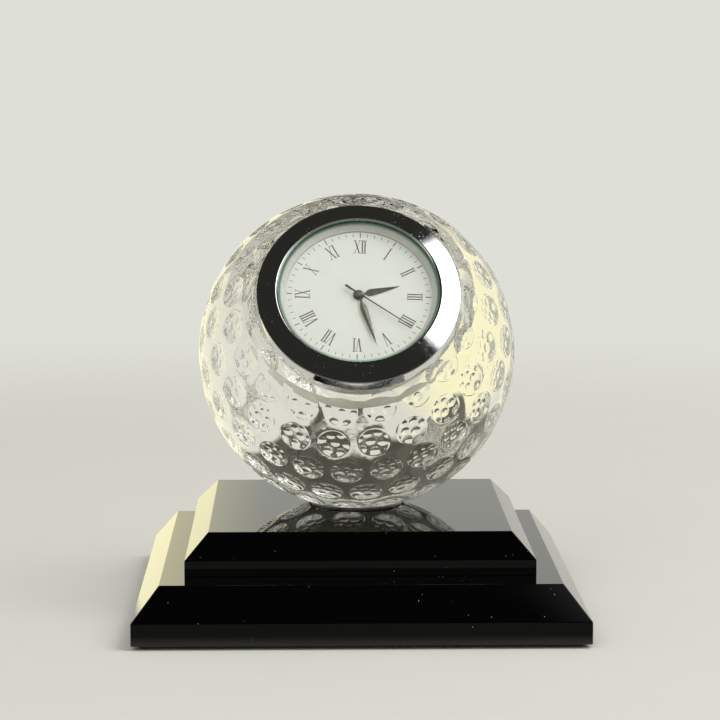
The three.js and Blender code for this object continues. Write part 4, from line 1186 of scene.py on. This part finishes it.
def makeFloorMaterial():
    # a pale floor that shows as the plain background where it is far off
    material, tree, shader = newMaterial("studioFloor", studio["floor"])
    low = tuple(studio["floorShade"] * value for value in studio["floorColour"])
    tinted(tree, shader, grainMask(tree, studio["floorGrain"]).outputs["Value"], low, studio["floorColour"])
    place = objectPlace(tree)
    far = ranged(tree, vectorResult(tree, "LENGTH", place), studio["floorFar"])
    direction = vectorResult(tree, "NORMALIZE", vectorResult(tree, "SUBTRACT", place, ballMiddle))
    seen, mirror, shown, through = rayKinds(tree)
    around, glow = surroundings(tree, direction, mirror)
    inFront = ranged(tree, separated(tree, place)["Y"], studio["frontFloor"], 1.0, 0.0)
    inFront = calculated(tree, "MULTIPLY", inFront, mirror)
    # painted light: seen from frosted glass after a diffuse bounce, the floor glows brighter than it is lit
    fromFrosted = calculated(tree, "MULTIPLY", through, calculated(tree, "SUBTRACT", 1.0, shown))
    around = mixedColour(tree, inFront, around, studio["front"])
    around = mixedColour(tree, fromFrosted, around, studio["floorGlowForFrosted"])
    farSeen = calculated(tree, "MULTIPLY", far, calculated(tree, "MAXIMUM", seen, shown))
    glowSeen = calculated(tree, "MULTIPLY", glow, shown)
    plain = addNode(tree, "ShaderNodeEmission", Strength=1.0)
    tree.links.new(mixedColour(tree, seen, around, studio["pale"]), plain.inputs["Color"])
    mix = tree.nodes.new("ShaderNodeMixShader")
    tree.links.new(calculated(tree, "MAXIMUM", glowSeen, inFront, fromFrosted, farSeen), mix.inputs[0])
    tree.links.new(shader.outputs[0], mix.inputs[1])
    tree.links.new(plain.outputs[0], mix.inputs[2])
    tree.links.new(mix.outputs[0], tree.nodes["Material Output"].inputs["Surface"])
    return material


def addFloor():
    size, bend, radius, high = (studio[key] for key in ("floorSize", "sweepAt", "sweepRadius", "wallHigh"))
    line = [(-size, 0), (0, 0), (bend, 0)]
    for angle in range(studio["sweepStep"], 90 + studio["sweepStep"], studio["sweepStep"]):
        turn = math.radians(angle)
        line.append((bend + radius * math.sin(turn), radius * (1 - math.cos(turn))))
    line.append((bend + radius, high))
    form = bmesh.new()
    rows = [[form.verts.new((x * size, y, z)) for x in (-1, 1)] for y, z in line]
    for a, b in zip(rows, rows[1:]):
        form.faces.new((a[0], a[1], b[1], b[0]))
    mesh = bpy.data.meshes.new("studioFloor")
    form.to_mesh(mesh)
    form.free()
    for face in mesh.polygons:
        face.use_smooth = True
    mesh.materials.append(makeFloorMaterial())
    floor = bpy.data.objects.new("studioFloor", mesh)
    bpy.context.scene.collection.objects.link(floor)


def addLamp(name, kind, at, target):
    lamp = bpy.data.objects.new(name, bpy.data.lights.new(name, kind))
    turn = (target - at).to_track_quat("-Z", "Y").to_matrix().to_4x4()
    lamp.matrix_world = Matrix.Translation(at) @ turn
    lamp.visible_camera = False
    bpy.context.scene.collection.objects.link(lamp)
    return lamp


def addKey():
    # a soft box whose light fades towards its edges
    at = ballMiddle + Vector(studio["keyDirection"]) * studio["keyDistance"]
    data = addLamp("key", "AREA", at, ballMiddle).data
    data.shape = "RECTANGLE"
    data.size = data.size_y = studio["keySize"]
    data.energy = studio["keyPower"]
    data.use_nodes = True
    tree = data.node_tree
    across = separated(tree, tree.nodes.new("ShaderNodeNewGeometry").outputs["Parametric"])
    fades = []
    for socket in across[:2]:  # each runs from 0 to 1 over the box
        toEdge = calculated(tree, "ABSOLUTE", calculated(tree, "SUBTRACT", socket, 0.5))
        fades.append(ranged(tree, toEdge, studio["keyFade"], 1.0, 0.0))
    tree.links.new(calculated(tree, "MULTIPLY", *fades), tree.nodes["Emission"].inputs["Strength"])


def addFill():
    # even light from the front that no polished face mirrors
    lamp = addLamp("fill", "SUN", Vector(studio["fillDirection"]), Vector((0, 0, 0)))
    lamp.data.energy = studio["fillStrength"]
    lamp.data.angle = math.radians(studio["fillSoftness"])
    lamp.visible_glossy = lamp.visible_transmission = False
    lamp.data.cycles.use_multiple_importance_sampling = False


def addWorld():
    world = bpy.data.worlds.new("studioWorld")
    world.use_nodes = True
    tree = world.node_tree
    seen, mirror, shown, through = rayKinds(tree)
    direction = tree.nodes.new("ShaderNodeTexCoord").outputs["Generated"]
    around = surroundings(tree, direction, mirror)[0]
    low = ranged(tree, separated(tree, direction)["Z"], studio["level"], 1.0, 0.0)
    level = calculated(tree, "MULTIPLY", low, through)
    lit = mixedColour(tree, calculated(tree, "MAXIMUM", shown, level), studio["fill"], around)
    tree.links.new(mixedColour(tree, seen, lit, studio["pale"]), tree.nodes["Background"].inputs["Color"])
    bpy.context.scene.world = world


addFloor()
addKey()
addFill()
addWorld()
bpy.context.scene.view_settings.view_transform = "Standard"
cycles = bpy.context.scene.cycles
cycles.max_bounces = cycles.glossy_bounces = cycles.transmission_bounces = studio["bounces"]
print("studio made")
